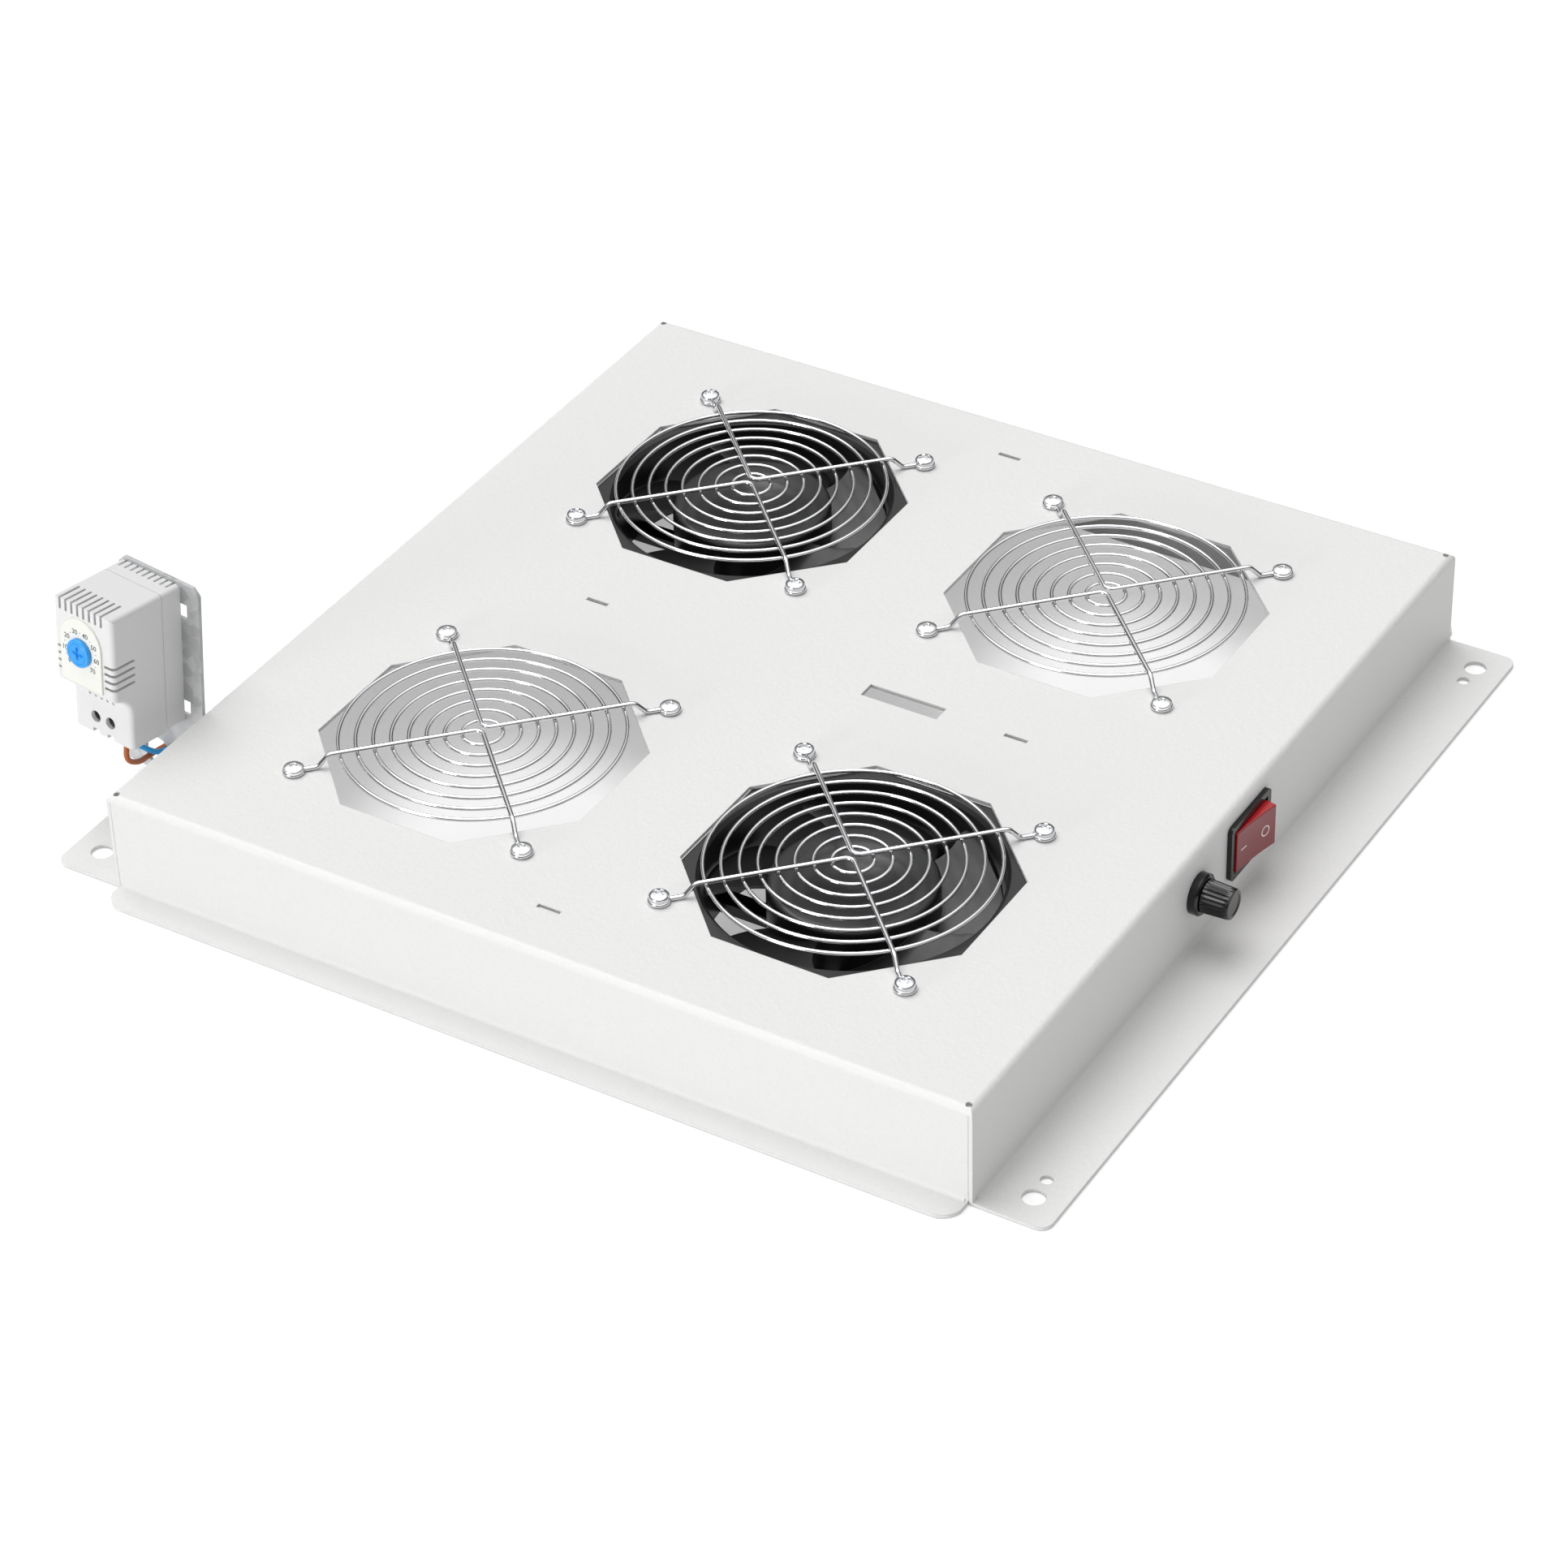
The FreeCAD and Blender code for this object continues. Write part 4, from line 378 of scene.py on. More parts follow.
# ------------------------------------------------------------------ finishes
def linear(code: str) -> tuple:
    """Turns an sRGB hex colour into linear values.

    Args:
        code: Six hex digits after a hash.

    Returns:
        Red, green, blue and an alpha of 1.
    """
    shares = [int(code[index : index + 2], 16) / 255 for index in (1, 3, 5)]
    return (*[s / 12.92 if s <= 0.04045 else ((s + 0.055) / 1.055) ** 2.4 for s in shares], 1.0)


def cleared(material):
    """Turns on the node tree of a material or world, empties it and gives the owner back."""
    material.use_nodes = True
    material.node_tree.nodes.clear()
    return material


def add_node(material, kind: str, inputs: dict | None = None, **settings) -> bpy.types.Node:
    """Adds a node to a material, sets it up and links what feeds it.

    Args:
        material: Material or world that owns the node tree.
        kind: Type name of the node.
        inputs: Values or output sockets for the node's inputs, by name or number.
        **settings: Properties of the node.

    Returns:
        The node.
    """
    tree = material.node_tree
    node = tree.nodes.new(kind)
    for name, value in settings.items():
        setattr(node, name, value)
    for name, value in (inputs or {}).items():
        if isinstance(value, bpy.types.NodeSocket):
            tree.links.new(value, node.inputs[name])
        else:
            node.inputs[name].default_value = value
    return node


def per_metre(size_mm: float) -> float:
    """Scale of a texture whose features are a given size apart."""
    return 1.0 / (size_mm * MM)


def noise(material, place, size_mm: float, detail: float) -> bpy.types.NodeSocket:
    """Noise of a feature size at a place."""
    inputs = {"Vector": place, "Scale": per_metre(size_mm), "Detail": detail}
    return add_node(material, "ShaderNodeTexNoise", inputs).outputs[0]


def ranged(material, value, low: float, high: float) -> bpy.types.NodeSocket:
    """A share from 0 to 1, spread from low to high."""
    inputs = {"Value": value, "To Min": low, "To Max": high}
    return add_node(material, "ShaderNodeMapRange", inputs).outputs[0]


def relief(material, height, strength: float, depth_mm: float, **base) -> bpy.types.NodeSocket:
    """Normal of a fine relief, over the normal given as Normal, if any."""
    inputs = {"Height": height, "Strength": strength, "Distance": depth_mm * MM, **base}
    return add_node(material, "ShaderNodeBump", inputs).outputs[0]


def tint(material, share, first: str, second: str) -> bpy.types.NodeSocket:
    """Colour between two hex colours, by a share from 0 to 1."""
    inputs = {0: share, 6: linear(first), 7: linear(second)}
    return add_node(material, "ShaderNodeMix", inputs, data_type="RGBA").outputs[2]


@dataclass(frozen=True)
class Finish:
    """What every finish shares: its name, colour and how it shines."""

    name: str
    colour: str
    roughness: float
    metallic: float = 0.0
    ior: float = 1.5
    edge_mm: float = 0.25

    def start(self) -> tuple:
        """Makes the material with its shader and the place of its pattern.

        Returns:
            The material, its shader node and the Object coordinate socket.
        """
        material = cleared(bpy.data.materials.new(self.name))
        look = {"Base Color": linear(self.colour), "Roughness": self.roughness}
        look.update({"Metallic": self.metallic, "IOR": self.ior})
        shader = add_node(material, "ShaderNodeBsdfPrincipled", look)
        add_node(material, "ShaderNodeOutputMaterial", {"Surface": shader.outputs[0]})
        place = add_node(material, "ShaderNodeTexCoord").outputs["Object"]
        return material, shader, place

    def soft_edge(self, material) -> bpy.types.NodeSocket:
        """Normal that rounds the piece's sharp edges by the finish's edge radius."""
        return add_node(material, "ShaderNodeBevel", {"Radius": self.edge_mm * MM}, samples=6).outputs[0]

    def build(self) -> bpy.types.Material:
        """Makes the material.

        Returns:
            The material, with a faint variation in roughness.
        """
        material, shader, place = self.start()
        grain = noise(material, place, 1.6, 3.0)
        rough = ranged(material, grain, max(0.02, self.roughness - 0.06), min(1.0, self.roughness + 0.06))
        normal = relief(material, grain, 0.10, 0.05, Normal=self.soft_edge(material))
        link_all(material, shader, {"Roughness": rough, "Normal": normal})
        return material


def link_all(material, shader, sockets: dict) -> None:
    """Links output sockets to a shader's named inputs.

    Args:
        material: Owner of the node tree.
        shader: The node that they feed.
        sockets: Output socket for each input name.
    """
    for name, socket in sockets.items():
        material.node_tree.links.new(socket, shader.inputs[name])


@dataclass(frozen=True)
class PowderCoat(Finish):
    """Polyester powder on steel: baked melt, low sheen, a fine leathery texture."""

    texture_mm: float = 1.9
    height_mm: float = 0.2

    def build(self) -> bpy.types.Material:
        """Makes the material from a fine grit over a broader flow pattern."""
        material, shader, place = self.start()
        flow = add_node(
            material,
            "ShaderNodeTexVoronoi",
            {"Vector": place, "Scale": per_metre(self.texture_mm)},
            feature="SMOOTH_F1",
        )
        grit = noise(material, place, self.texture_mm / 2, 4.0)
        height = add_node(material, "ShaderNodeMix", {0: 0.45, 2: flow.outputs[0], 3: grit}).outputs[0]
        normal = relief(material, height, 0.9, self.height_mm, Normal=self.soft_edge(material))
        colour = tint(material, grit, self.colour, "#E4E4E3")
        link_all(material, shader, {"Normal": normal, "Base Color": colour})
        shader.inputs["Specular IOR Level"].default_value = 0.4
        return material


@dataclass(frozen=True)
class ZincSheet(Finish):
    """Hot-dip zinc on sheet steel: grey crystals of slightly different brightness."""

    spangle_mm: float = 5.0

    def build(self) -> bpy.types.Material:
        """Makes the material from Voronoi crystals under fine streaks."""
        material, shader, place = self.start()
        crystals = add_node(
            material, "ShaderNodeTexVoronoi", {"Vector": place, "Scale": per_metre(self.spangle_mm)}
        )
        streaks = noise(material, place, 0.8, 5.0)
        value = add_node(material, "ShaderNodeSeparateColor", {0: crystals.outputs["Color"]})
        blend = add_node(material, "ShaderNodeMix", {0: 0.5, 2: value.outputs[0], 3: streaks}).outputs[0]
        colour = tint(material, blend, "#9E9FA0", "#D2D3D4")
        rough = ranged(material, blend, 0.34, 0.58)
        normal = self.soft_edge(material)
        link_all(material, shader, {"Base Color": colour, "Roughness": rough, "Normal": normal})
        return material


@dataclass(frozen=True)
class Ribbed(Finish):
    """Clear-coloured plastic whose face is moulded with fine ribs, with painted shade darkening its colour
    in the rib valleys.
    """

    pitch_mm: float = 0.8

    def build(self) -> bpy.types.Material:
        """Makes the material from a wave across the height of the face.

        Twenty turns of the wave's own unit fill 2 pi ribs, so its scale is 2 pi over
        twenty pitches.
        """
        material, shader, place = self.start()
        ribs = add_node(
            material,
            "ShaderNodeTexWave",
            {"Vector": place, "Scale": math.tau / 20.0 * per_metre(self.pitch_mm)},
            bands_direction="Z",
        )
        normal = relief(material, ribs.outputs[1], 0.35, 0.10)
        # Painted shade: the colour darkens in the rib valleys and lightens on the crests, following the rib
        # wave.
        colour = tint(material, ribs.outputs[1], self.colour, "#8E1D26")
        link_all(material, shader, {"Normal": normal, "Base Color": colour})
        shader.inputs["Coat Weight"].default_value = 0.4
        shader.inputs["Coat Roughness"].default_value = 0.12
        return material


@dataclass(frozen=True)
class ClearPart(Finish):
    """Glass or clear plastic: light goes through it, tinted by its colour."""

    share: float = 0.9

    def build(self) -> bpy.types.Material:
        """Makes the material with a transmission weight."""
        material, shader, place = self.start()
        shader.inputs["Transmission Weight"].default_value = self.share
        haze = noise(material, place, 3.0, 2.0)
        rough = ranged(material, haze, self.roughness, self.roughness + 0.08)
        link_all(material, shader, {"Roughness": rough})
        return material


FINISHES = {
    # White polyester powder coat, baked: low sheen, fine leather texture.
    "powder_coat": PowderCoat("polyester_powder_coat_textured", "#EDEDEC", 0.5, edge_mm=0.5),
    # Bright nickel-chrome on drawn steel wire: mirror-like, faintly drawn.
    "bright_wire": Finish("nickel_chrome_plated_wire", "#D8D8DA", 0.1, metallic=1.0),
    # Die-cast aluminium under satin black paint: low sheen, slightly pebbled.
    "black_casting": Finish("die_cast_aluminium_black_paint", "#161617", 0.36),
    # Glass-filled polyester moulding: satin black with a soft highlight.
    "black_moulding": Finish("glass_filled_polyester_moulded", "#1A1A1B", 0.36),
    # Turned steel: clean metal with a soft highlight.
    "rotor_steel": Finish("turned_steel", "#9C9CA0", 0.3, metallic=1.0),
    # Stacked electrical steel: dull blue-grey metal.
    "lamination_steel": Finish("stamped_silicon_steel", "#6E7076", 0.5, metallic=1.0),
    # Enamelled copper wire: warm metal under a clear film.
    "copper_winding": Finish("enamelled_copper_wire", "#B5673A", 0.32, metallic=1.0),
    # Bright zinc plate on steel: cool, mirror-like with a slight haze.
    "zinc_plate": Finish("zinc_plated_steel", "#DCDDE0", 0.2, metallic=1.0),
    # Plain aluminium of a blind rivet: pale satin metal.
    "rivet_aluminium": Finish("drawn_aluminium", "#E2E3E4", 0.26, metallic=1.0),
    # Black polycarbonate, moulded: dark gloss with rounded edges.
    "black_gloss": Finish("polycarbonate_moulded_black", "#0E0E0E", 0.2),
    # Clear red polycarbonate over a lamp: bright where its wall is seen edge on.
    "red_rocker": ClearPart("polycarbonate_moulded_red", "#D4121E", 0.16, ior=1.58, share=0.25),
    # The same plastic with a ribbed, frosted face: deeper and greyer, with painted shade in the rib valleys.
    "red_face": Ribbed("polycarbonate_ribbed_red", "#7C1219", 0.34, ior=1.4),
    # Neon lamp glass: clear with an orange tint.
    "lamp_glass": ClearPart("neon_lamp_glass", "#F0A080", 0.05),
    # Stamped brass tags, bare: pale yellow metal.
    "brass_tag": Finish("stamped_brass", "#C9A85C", 0.28, metallic=1.0),
    # Soda glass tube of the cartridge: clear.
    "clear_glass": ClearPart("soda_lime_glass_tube", "#F4F8F8", 0.03, ior=1.52),
    # Nickel on brass end caps: bright warm-grey metal.
    "plated_cap": Finish("nickel_plated_brass", "#CFCBC4", 0.2, metallic=1.0),
    # Light grey ABS, spark-eroded mould texture: even and satin.
    "grey_shell": Finish("abs_moulded_light_grey", "#E6E6E6", 0.45, edge_mm=0.5),
    # Ivory ABS: warmer and a touch smoother.
    "ivory_moulding": Finish("abs_moulded_ivory", "#F0F0E9", 0.38, edge_mm=0.4),
    # Blue ABS of the setting dial: strong colour, satin gloss.
    "blue_dial": Finish("abs_moulded_blue", "#22A0F2", 0.3),
    # Hot-dip galvanised sheet of the bracket.
    "galvanised": ZincSheet("hot_dip_galvanised_sheet", "#B4B5B6", 0.45, metallic=0.6),
    # PVC insulation of the brown core: soft satin plastic.
    "brown_insulation": Finish("pvc_insulation_brown", "#B5602F", 0.38),
    # PVC insulation of the blue core.
    "blue_insulation": Finish("pvc_insulation_blue", "#2AA6EC", 0.38),
    # PVC sheath of the cable: pale grey, slightly dull.
    "grey_sheath": Finish("pvc_sheath_grey", "#DADAD8", 0.5),
    # Black synthetic rubber of the grommets: dull and dark.
    "black_rubber": Finish("chloroprene_rubber", "#1A1A1A", 0.65),
    # Natural polyamide of the terminal strip: milky, waxy.
    "natural_nylon": Finish("polyamide_natural", "#E9E6DA", 0.4),
    # Pad-printed ink: flat dark grey.
    "dark_ink": Finish("pad_print_ink_grey", "#4E4B46", 0.6),
    # Pad-printed ink on the rocker: flat pale pink-white.
    "pale_ink": Finish("pad_print_ink_white", "#FBEAEA", 0.5),
}


class Workshop:
    """Holds each finish once and dresses the frame's own nodes with it."""

    def __init__(self) -> None:
        """Starts with no material made."""
        self.made: dict = {}

    def finish(self, name: str) -> bpy.types.Material:
        """Gives the material of a finish, made at its first use.

        Args:
            name: Key of the finish.

        Returns:
            The material.
        """
        if name not in self.made:
            self.made[name] = FINISHES[name].build()
        return self.made[name]

    def dress_nodes(self) -> None:
        """Puts the finish of its record slot on every node of the frame."""
        for entry in FRAME["record"]["subparts"]:
            node = FRAME["nodes"][entry["node"]]
            node.data.materials.clear()
            node.data.materials.append(self.finish(entry["material_slot"]))
            LOG.info("%s finished in %s", entry["node"], entry["material_slot"])


# -------------------------------------------------------------------- guards
@dataclass
class WireGuard:
    """One finger guard: rings of thin wire under two bent wires with eyes."""

    bay: Bay
    shop: Workshop
    plate_top: float = 44.0
    ring_count: int = 8
    first_radius: float = 8.0
    pitch: float = 6.87
    ring_wire: float = 1.6
    ring_height: float = 4.2
    spoke_wire: float = 2.0
    bend_radius: float = 3.5
    bend_offset: float = 1.9
    step_radius: float = 64.3
    step_run: float = 4.0
    eye_radius: float = 3.5

    def rings(self) -> list:
        """Rings of the guard, each a wire on a circle."""
        centre = (0, 0, self.ring_height)
        return [
            tube(
                circle_path(self.first_radius + self.pitch * index, centre, 64 + 12 * index),
                self.ring_wire / 2,
                closed=True,
            )
            for index in range(self.ring_count)
        ]

    def spoke(self, side: int) -> list:
        """One bent wire with its two eyes.

        Its legs lie at 45 degrees, touch a bend circle in front of the middle and step
        down to the plate outside the last ring.

        Args:
            side: 1 for the wire towards the back, -1 for the one towards the front.

        Returns:
            The wire and its two eye rings.
        """
        diagonal = math.sqrt(0.5)
        high = self.ring_height + self.ring_wire / 2 + self.spoke_wire / 2
        low = self.spoke_wire / 2
        shift = diagonal * (self.bend_offset + self.bend_radius) - self.bend_radius
        tangent = diagonal * (self.bend_offset + self.bend_radius)
        eye_run = FASTENER_REACH / diagonal - math.sqrt(self.eye_radius**2 - shift**2)
        runs = np.array(
            [
                [eye_run, shift, low],
                [self.step_radius + 0.6, shift, low],
                [self.step_radius - self.step_run, shift, high],
                [tangent, shift, high],
            ]
        )
        turn = np.array([[diagonal, -diagonal, 0], [diagonal, diagonal, 0], [0, 0, 1]])
        leg = bent_path(list(runs), 1.5) @ turn.T
        angle = np.linspace(-np.pi / 4, -3 * np.pi / 4, 15)[1:-1]
        bend = np.stack(
            [
                self.bend_radius * np.cos(angle),
                self.bend_offset + self.bend_radius + self.bend_radius * np.sin(angle),
                np.full(13, high),
            ],
            axis=1,
        )
        other = leg[::-1] * np.array([-1, 1, 1])
        wires = [tube(np.vstack([leg, bend, other]), self.spoke_wire / 2, 14)]
        for hand in (-1, 1):
            eye = circle_path(self.eye_radius, (hand * FASTENER_REACH, FASTENER_REACH, low), 36)
            wires.append(tube(eye, self.spoke_wire / 2, 14, closed=True))
        spin = np.diag([side, side, 1.0])
        return [wire.moved((0, 0, 0), spin) for wire in wires]

    def build(self) -> None:
        """Makes the guard and lets it stand for its node."""
        skin = Surface.joined(self.rings() + self.spoke(1) + self.spoke(-1))
        place = self.bay.centre(self.plate_top)
        name = "guard_wires_" + self.bay.label
        piece = make_piece(name, skin.moved(place), self.shop.finish("bright_wire"), "tray")
        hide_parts("guard_" + self.bay.label)


# ----------------------------------------------------------------- fasteners
@dataclass
class PanScrew:
    """Pan-head screw with a cross recess and a rolled thread."""

    head_diameter: float = 8.0
    head_height: float = 2.6
    diameter: float = 4.0
    length: float = 16.0
    thread_pitch: float = 0.7

    def head_top(self, x: np.ndarray, y: np.ndarray) -> np.ndarray:
        """Height of the head: a flattened dome less the cross recess."""
        share = np.clip(np.hypot(x, y) / (self.head_diameter / 2), 0, 1)
        dome = self.head_height * (0.42 + 0.58 * (1 - share**2.6) ** 0.5)
        return dome - 1.5 * cross_recess(x, y, 2.2, 0.62)

    def surface(self) -> Surface:
        """Screw along +Z with its head's seat at zero."""
        head = capped_disc(self.head_diameter / 2, self.head_top, 0.0, 34)
        turns = int(self.length / self.thread_pitch)
        heights = -self.length + self.thread_pitch * np.arange(1, 2 * turns) / 2
        radii = self.diameter / 2 - 0.3 * (np.arange(1, 2 * turns) % 2)
        thread = [(0.0, -self.length), (self.diameter / 2 - 0.5, -self.length)]
        thread += list(zip(radii.tolist(), heights.tolist()))
        thread += [(self.diameter / 2, 0.0), (0.0, 0.3)]
        return Surface.joined([head, lathe(thread, 20)])


@dataclass
class BlindRivet:
    """Domed blind rivet: dimpled head above, bulb below."""

    head_diameter: float = 8.0
    head_height: float = 1.6
    diameter: float = 4.0
    tail_diameter: float = 6.0
    tail_height: float = 2.6
    grip: float = 3.5

    def head_top(self, x: np.ndarray, y: np.ndarray) -> np.ndarray:
        """Height of the head: a low dome with a round dimple and the mandrel in it."""
        reach = np.hypot(x, y)
        share = np.clip(reach / (self.head_diameter / 2), 0, 1)
        dome = self.head_height * (0.35 + 0.65 * (1 - share**2) ** 0.6)
        dimple = np.clip((1.35 - reach) / 0.3, 0, 1)
        mandrel = np.clip((0.8 - reach) / 0.2, 0, 1)
        return dome - 1.0 * dimple + 0.45 * mandrel

    def surface(self) -> Surface:
        """Rivet along +Z with its head's seat at zero."""
        head = capped_disc(self.head_diameter / 2, self.head_top, 0.0, 34)
        foot = -self.grip - self.tail_height
        shank = self.diameter / 2
        bulb = self.tail_diameter / 2
        below = [(0, foot), (bulb * 0.8, foot), (bulb, -self.grip - 1.0)]
        tail = rounded(below + [(shank, -self.grip), (shank, 0), (0, 0)], 0.4)
        return Surface.joined([head, lathe(tail, 28)])


@dataclass
class Fasteners:
    """Screws on the fan bays' guards and rivets on the open bays'."""

    shop: Workshop
    seat: float = 46.0
    first_turn: float = 23.0
    turn_step: float = 37.0

    def places(self, bays: tuple) -> list:
        """Centres of the four fasteners of each bay."""
        corners = [(side * FASTENER_REACH, row * FASTENER_REACH, 0.0) for side in (-1, 1) for row in (-1, 1)]
        return [tuple(np.add(bay.centre(self.seat), corner)) for bay in bays for corner in corners]

    def build(self) -> None:
        """Makes the two sets and lets them stand for their nodes."""
        screw = PanScrew().surface()
        screws = [
            screw.moved(place, about_z(self.first_turn + self.turn_step * index))
            for index, place in enumerate(self.places(FAN_BAYS))
        ]
        zinc = self.shop.finish("zinc_plate")
        piece = make_piece("guard_pan_screws", Surface.joined(screws), zinc, "tray")
        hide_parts("guard_screws")
        rivet = BlindRivet().surface()
        rivets = [rivet.moved(place) for place in self.places(OPEN_BAYS)]
        aluminium = self.shop.finish("rivet_aluminium")
        piece = make_piece("guard_blind_rivets", Surface.joined(rivets), aluminium, "tray")
        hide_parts("guard_rivets")


def about_z(degrees: float) -> np.ndarray:
    """Rotation matrix about +Z."""
    cosine, sine = math.cos(math.radians(degrees)), math.sin(math.radians(degrees))
    return np.array([[cosine, -sine, 0], [sine, cosine, 0], [0, 0, 1.0]])


# ---------------------------------------------------------------------- fans
@dataclass
class Impeller:
    """Moulded rotor: a cup with a rounded rim and broad helical blades."""

    bay: Bay
    shop: Workshop
    seat: float = 4.5
    hub_radius: float = 33.0
    hub_top: float = 35.5
    hub_height: float = 25.0
    hub_wall: float = 2.0
    rim: float = 3.2
    blade_count: int = 5
    span: float = 62.0
    sweep: float = 12.0
    blade_height: float = 19.0
    gauge: float = 1.8
    tip_radius: float = 56.3
    tip_round: float = 6.0

    def hub(self) -> Surface:
        """Turned cup with a rounded top edge and a shallow ring on its face."""
        low = self.hub_top - self.hub_height
        inner = self.hub_radius - self.hub_wall
        under = self.hub_top - self.hub_wall
        profile = [(0, under), (inner, under), (inner, low), (self.hub_radius, low)]
        profile += rounded(
            [
                (self.hub_radius, low + 1),
                (self.hub_radius, self.hub_top),
                (self.hub_radius - 6, self.hub_top),
            ],
            self.rim,
            9,
        )
        profile += [(14.0, self.hub_top), (13.5, self.hub_top - 0.35), (0, self.hub_top - 0.35)]
        return lathe(profile, 96)

    def blade(self, turn: float) -> Surface:
        """One blade: at each radius a flat oval section along a helix.

        The angle runs from lead to tail as (1 - cos p) / 2 and the section's half
        thickness is gauge/2 times |sin p| to the power 0.4. Near the tip both ends are
        drawn in by R - sqrt(R^2 - d^2), which rounds the corners.

        Args:
            turn: Angle of the blade in degrees.

        Returns:
            The blade's closed skin.
        """
        rows, around = 26, 40
        start = self.hub_radius - self.hub_wall / 2
        radius = np.linspace(start, self.tip_radius, rows)[:, None]
        p = np.linspace(0, 2 * np.pi, around, endpoint=False)[None, :]
        past = np.clip(radius - (self.tip_radius - self.tip_round), 0, self.tip_round)
        drawn = self.tip_round - np.sqrt(np.clip(self.tip_round**2 - past**2, 0, None))
        share = (radius - start) / (self.tip_radius - start)
        sweep = self.sweep * (0.2 * share + 0.8 * share**2)
        inset = np.degrees(drawn / radius)
        lead = 1.0 + sweep + inset
        tail = self.span - 1.0 + sweep - inset
        angle = lead + (tail - lead) * (1 - np.cos(p)) / 2
        pitch = (self.blade_height - self.gauge) / (self.span + self.sweep)
        low = self.hub_top - self.hub_height + (self.hub_height - self.blade_height) / 2
        height = low + pitch * angle + self.gauge / 2
        height = height + self.gauge / 2 * np.sign(np.sin(p)) * np.abs(np.sin(p)) ** 0.4
        along = np.radians(angle + turn)
        points = np.stack([radius * np.cos(along), radius * np.sin(along), height], axis=-1)
        return Surface(points.reshape(-1, 3), run_faces(rows, around))

    def build(self) -> None:
        """Makes the rotor and lets it stand for its node."""
        step = 360.0 / self.blade_count
        parts = [self.hub()] + [self.blade(step * index) for index in range(self.blade_count)]
        skin = Surface.joined(parts).moved(self.bay.centre(self.seat))
        moulding, label = self.shop.finish("black_moulding"), self.bay.label
        piece = make_piece("rotor_" + label, skin, moulding, "fan_rotor_" + label)
        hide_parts("impeller_" + self.bay.label)


# ------------------------------------------------------------ right-hand wall
@dataclass
class RockerButton:
    """Lit rocker: clear red body, ribbed face, a line and a ring printed on it."""

    shop: Workshop
    pivot: tuple = (188.0, 13.7, 25.0)
    rest_degrees: float = -10.0
    crown: float = 7.0
    dish: float = 0.6
    half: float = 12.4
    skirt: float = 5.0
    foot: float = 2.0
    width: float = 18.5
    edge_mm: float = 0.5
    ribbed_above: float = 0.95
    print_lift: float = 0.06
    ring_middle: float = 6.2
    ring_radii: tuple = (1.85, 2.4)
    line_ends: tuple = (-9.7, -5.7)
    line_half: float = 0.3

    def face_height(self, along: np.ndarray) -> np.ndarray:
        """Crown of the face: a shallow dish across its length."""
        return self.crown - self.dish * (1 - (along / self.half) ** 2)

    def body(self) -> Surface:
        """Side profile carried across the width."""
        along = np.linspace(-self.half, self.half, 25)
        top = np.stack([self.face_height(along), along], axis=1)
        low = self.crown - self.skirt
        near = np.array([[low, self.half], [-self.foot, self.half / 2]])
        ring = np.vstack([top, near, near[::-1] * [1, -1]])
        count = len(ring)
        levels = np.array([-self.width / 2, self.width / 2])
        flat = np.broadcast_to(ring, (2, count, 2))
        height = np.broadcast_to(levels[:, None, None], (2, count, 1))
        points = np.concatenate([flat, height], axis=2).reshape(-1, 3)
        return Surface(points, flipped(run_faces(2, count)))

    def marks(self) -> Surface:
        """The ring and the line, each a thin raised print on the dished face."""
        angle = np.linspace(0, 2 * np.pi, 48, endpoint=False)
        radii = np.array(self.ring_radii)
        y = self.ring_middle + radii[:, None] * np.cos(angle)
        z = radii[:, None] * np.sin(angle)
        ring = np.stack([self.face_height(y) + self.print_lift, y, z], axis=-1).reshape(-1, 3)
        across = [-self.line_half, self.line_half]
        line_y, line_z = np.meshgrid(np.linspace(*self.line_ends, 9), across, indexing="ij")
        line = np.stack([self.face_height(line_y) + self.print_lift, line_y, line_z], axis=-1)
        line_faces = flipped(grid_faces(9, 2, False, False))
        ring_skin = Surface(ring, grid_faces(2, 48, False, True))
        return Surface.joined([ring_skin, Surface(line.reshape(-1, 3), line_faces)])

    def build(self) -> None:
        """Makes the rocker and its print, and lets them stand for the node."""
        turn = about_z(self.rest_degrees)
        skin = self.body().moved(self.pivot, turn)
        piece = make_piece("rocker_button", skin, self.shop.finish("red_rocker"), "rocker")
        piece.data.materials.append(self.shop.finish("red_face"))
        outward = Vector(turn @ np.array([1.0, 0, 0]))
        for face in piece.data.polygons:
            face.material_index = int(face.normal.dot(outward) > self.ribbed_above)
        bevel = piece.modifiers.new("edges", "BEVEL")
        bevel.width = self.edge_mm * MM
        bevel.segments = 3
        bevel.limit_method = "ANGLE"
        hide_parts("switch_rocker")
        drawn = self.marks().moved(self.pivot, turn)
        marks = make_piece("rocker_marks", drawn, self.shop.finish("pale_ink"), "rocker")


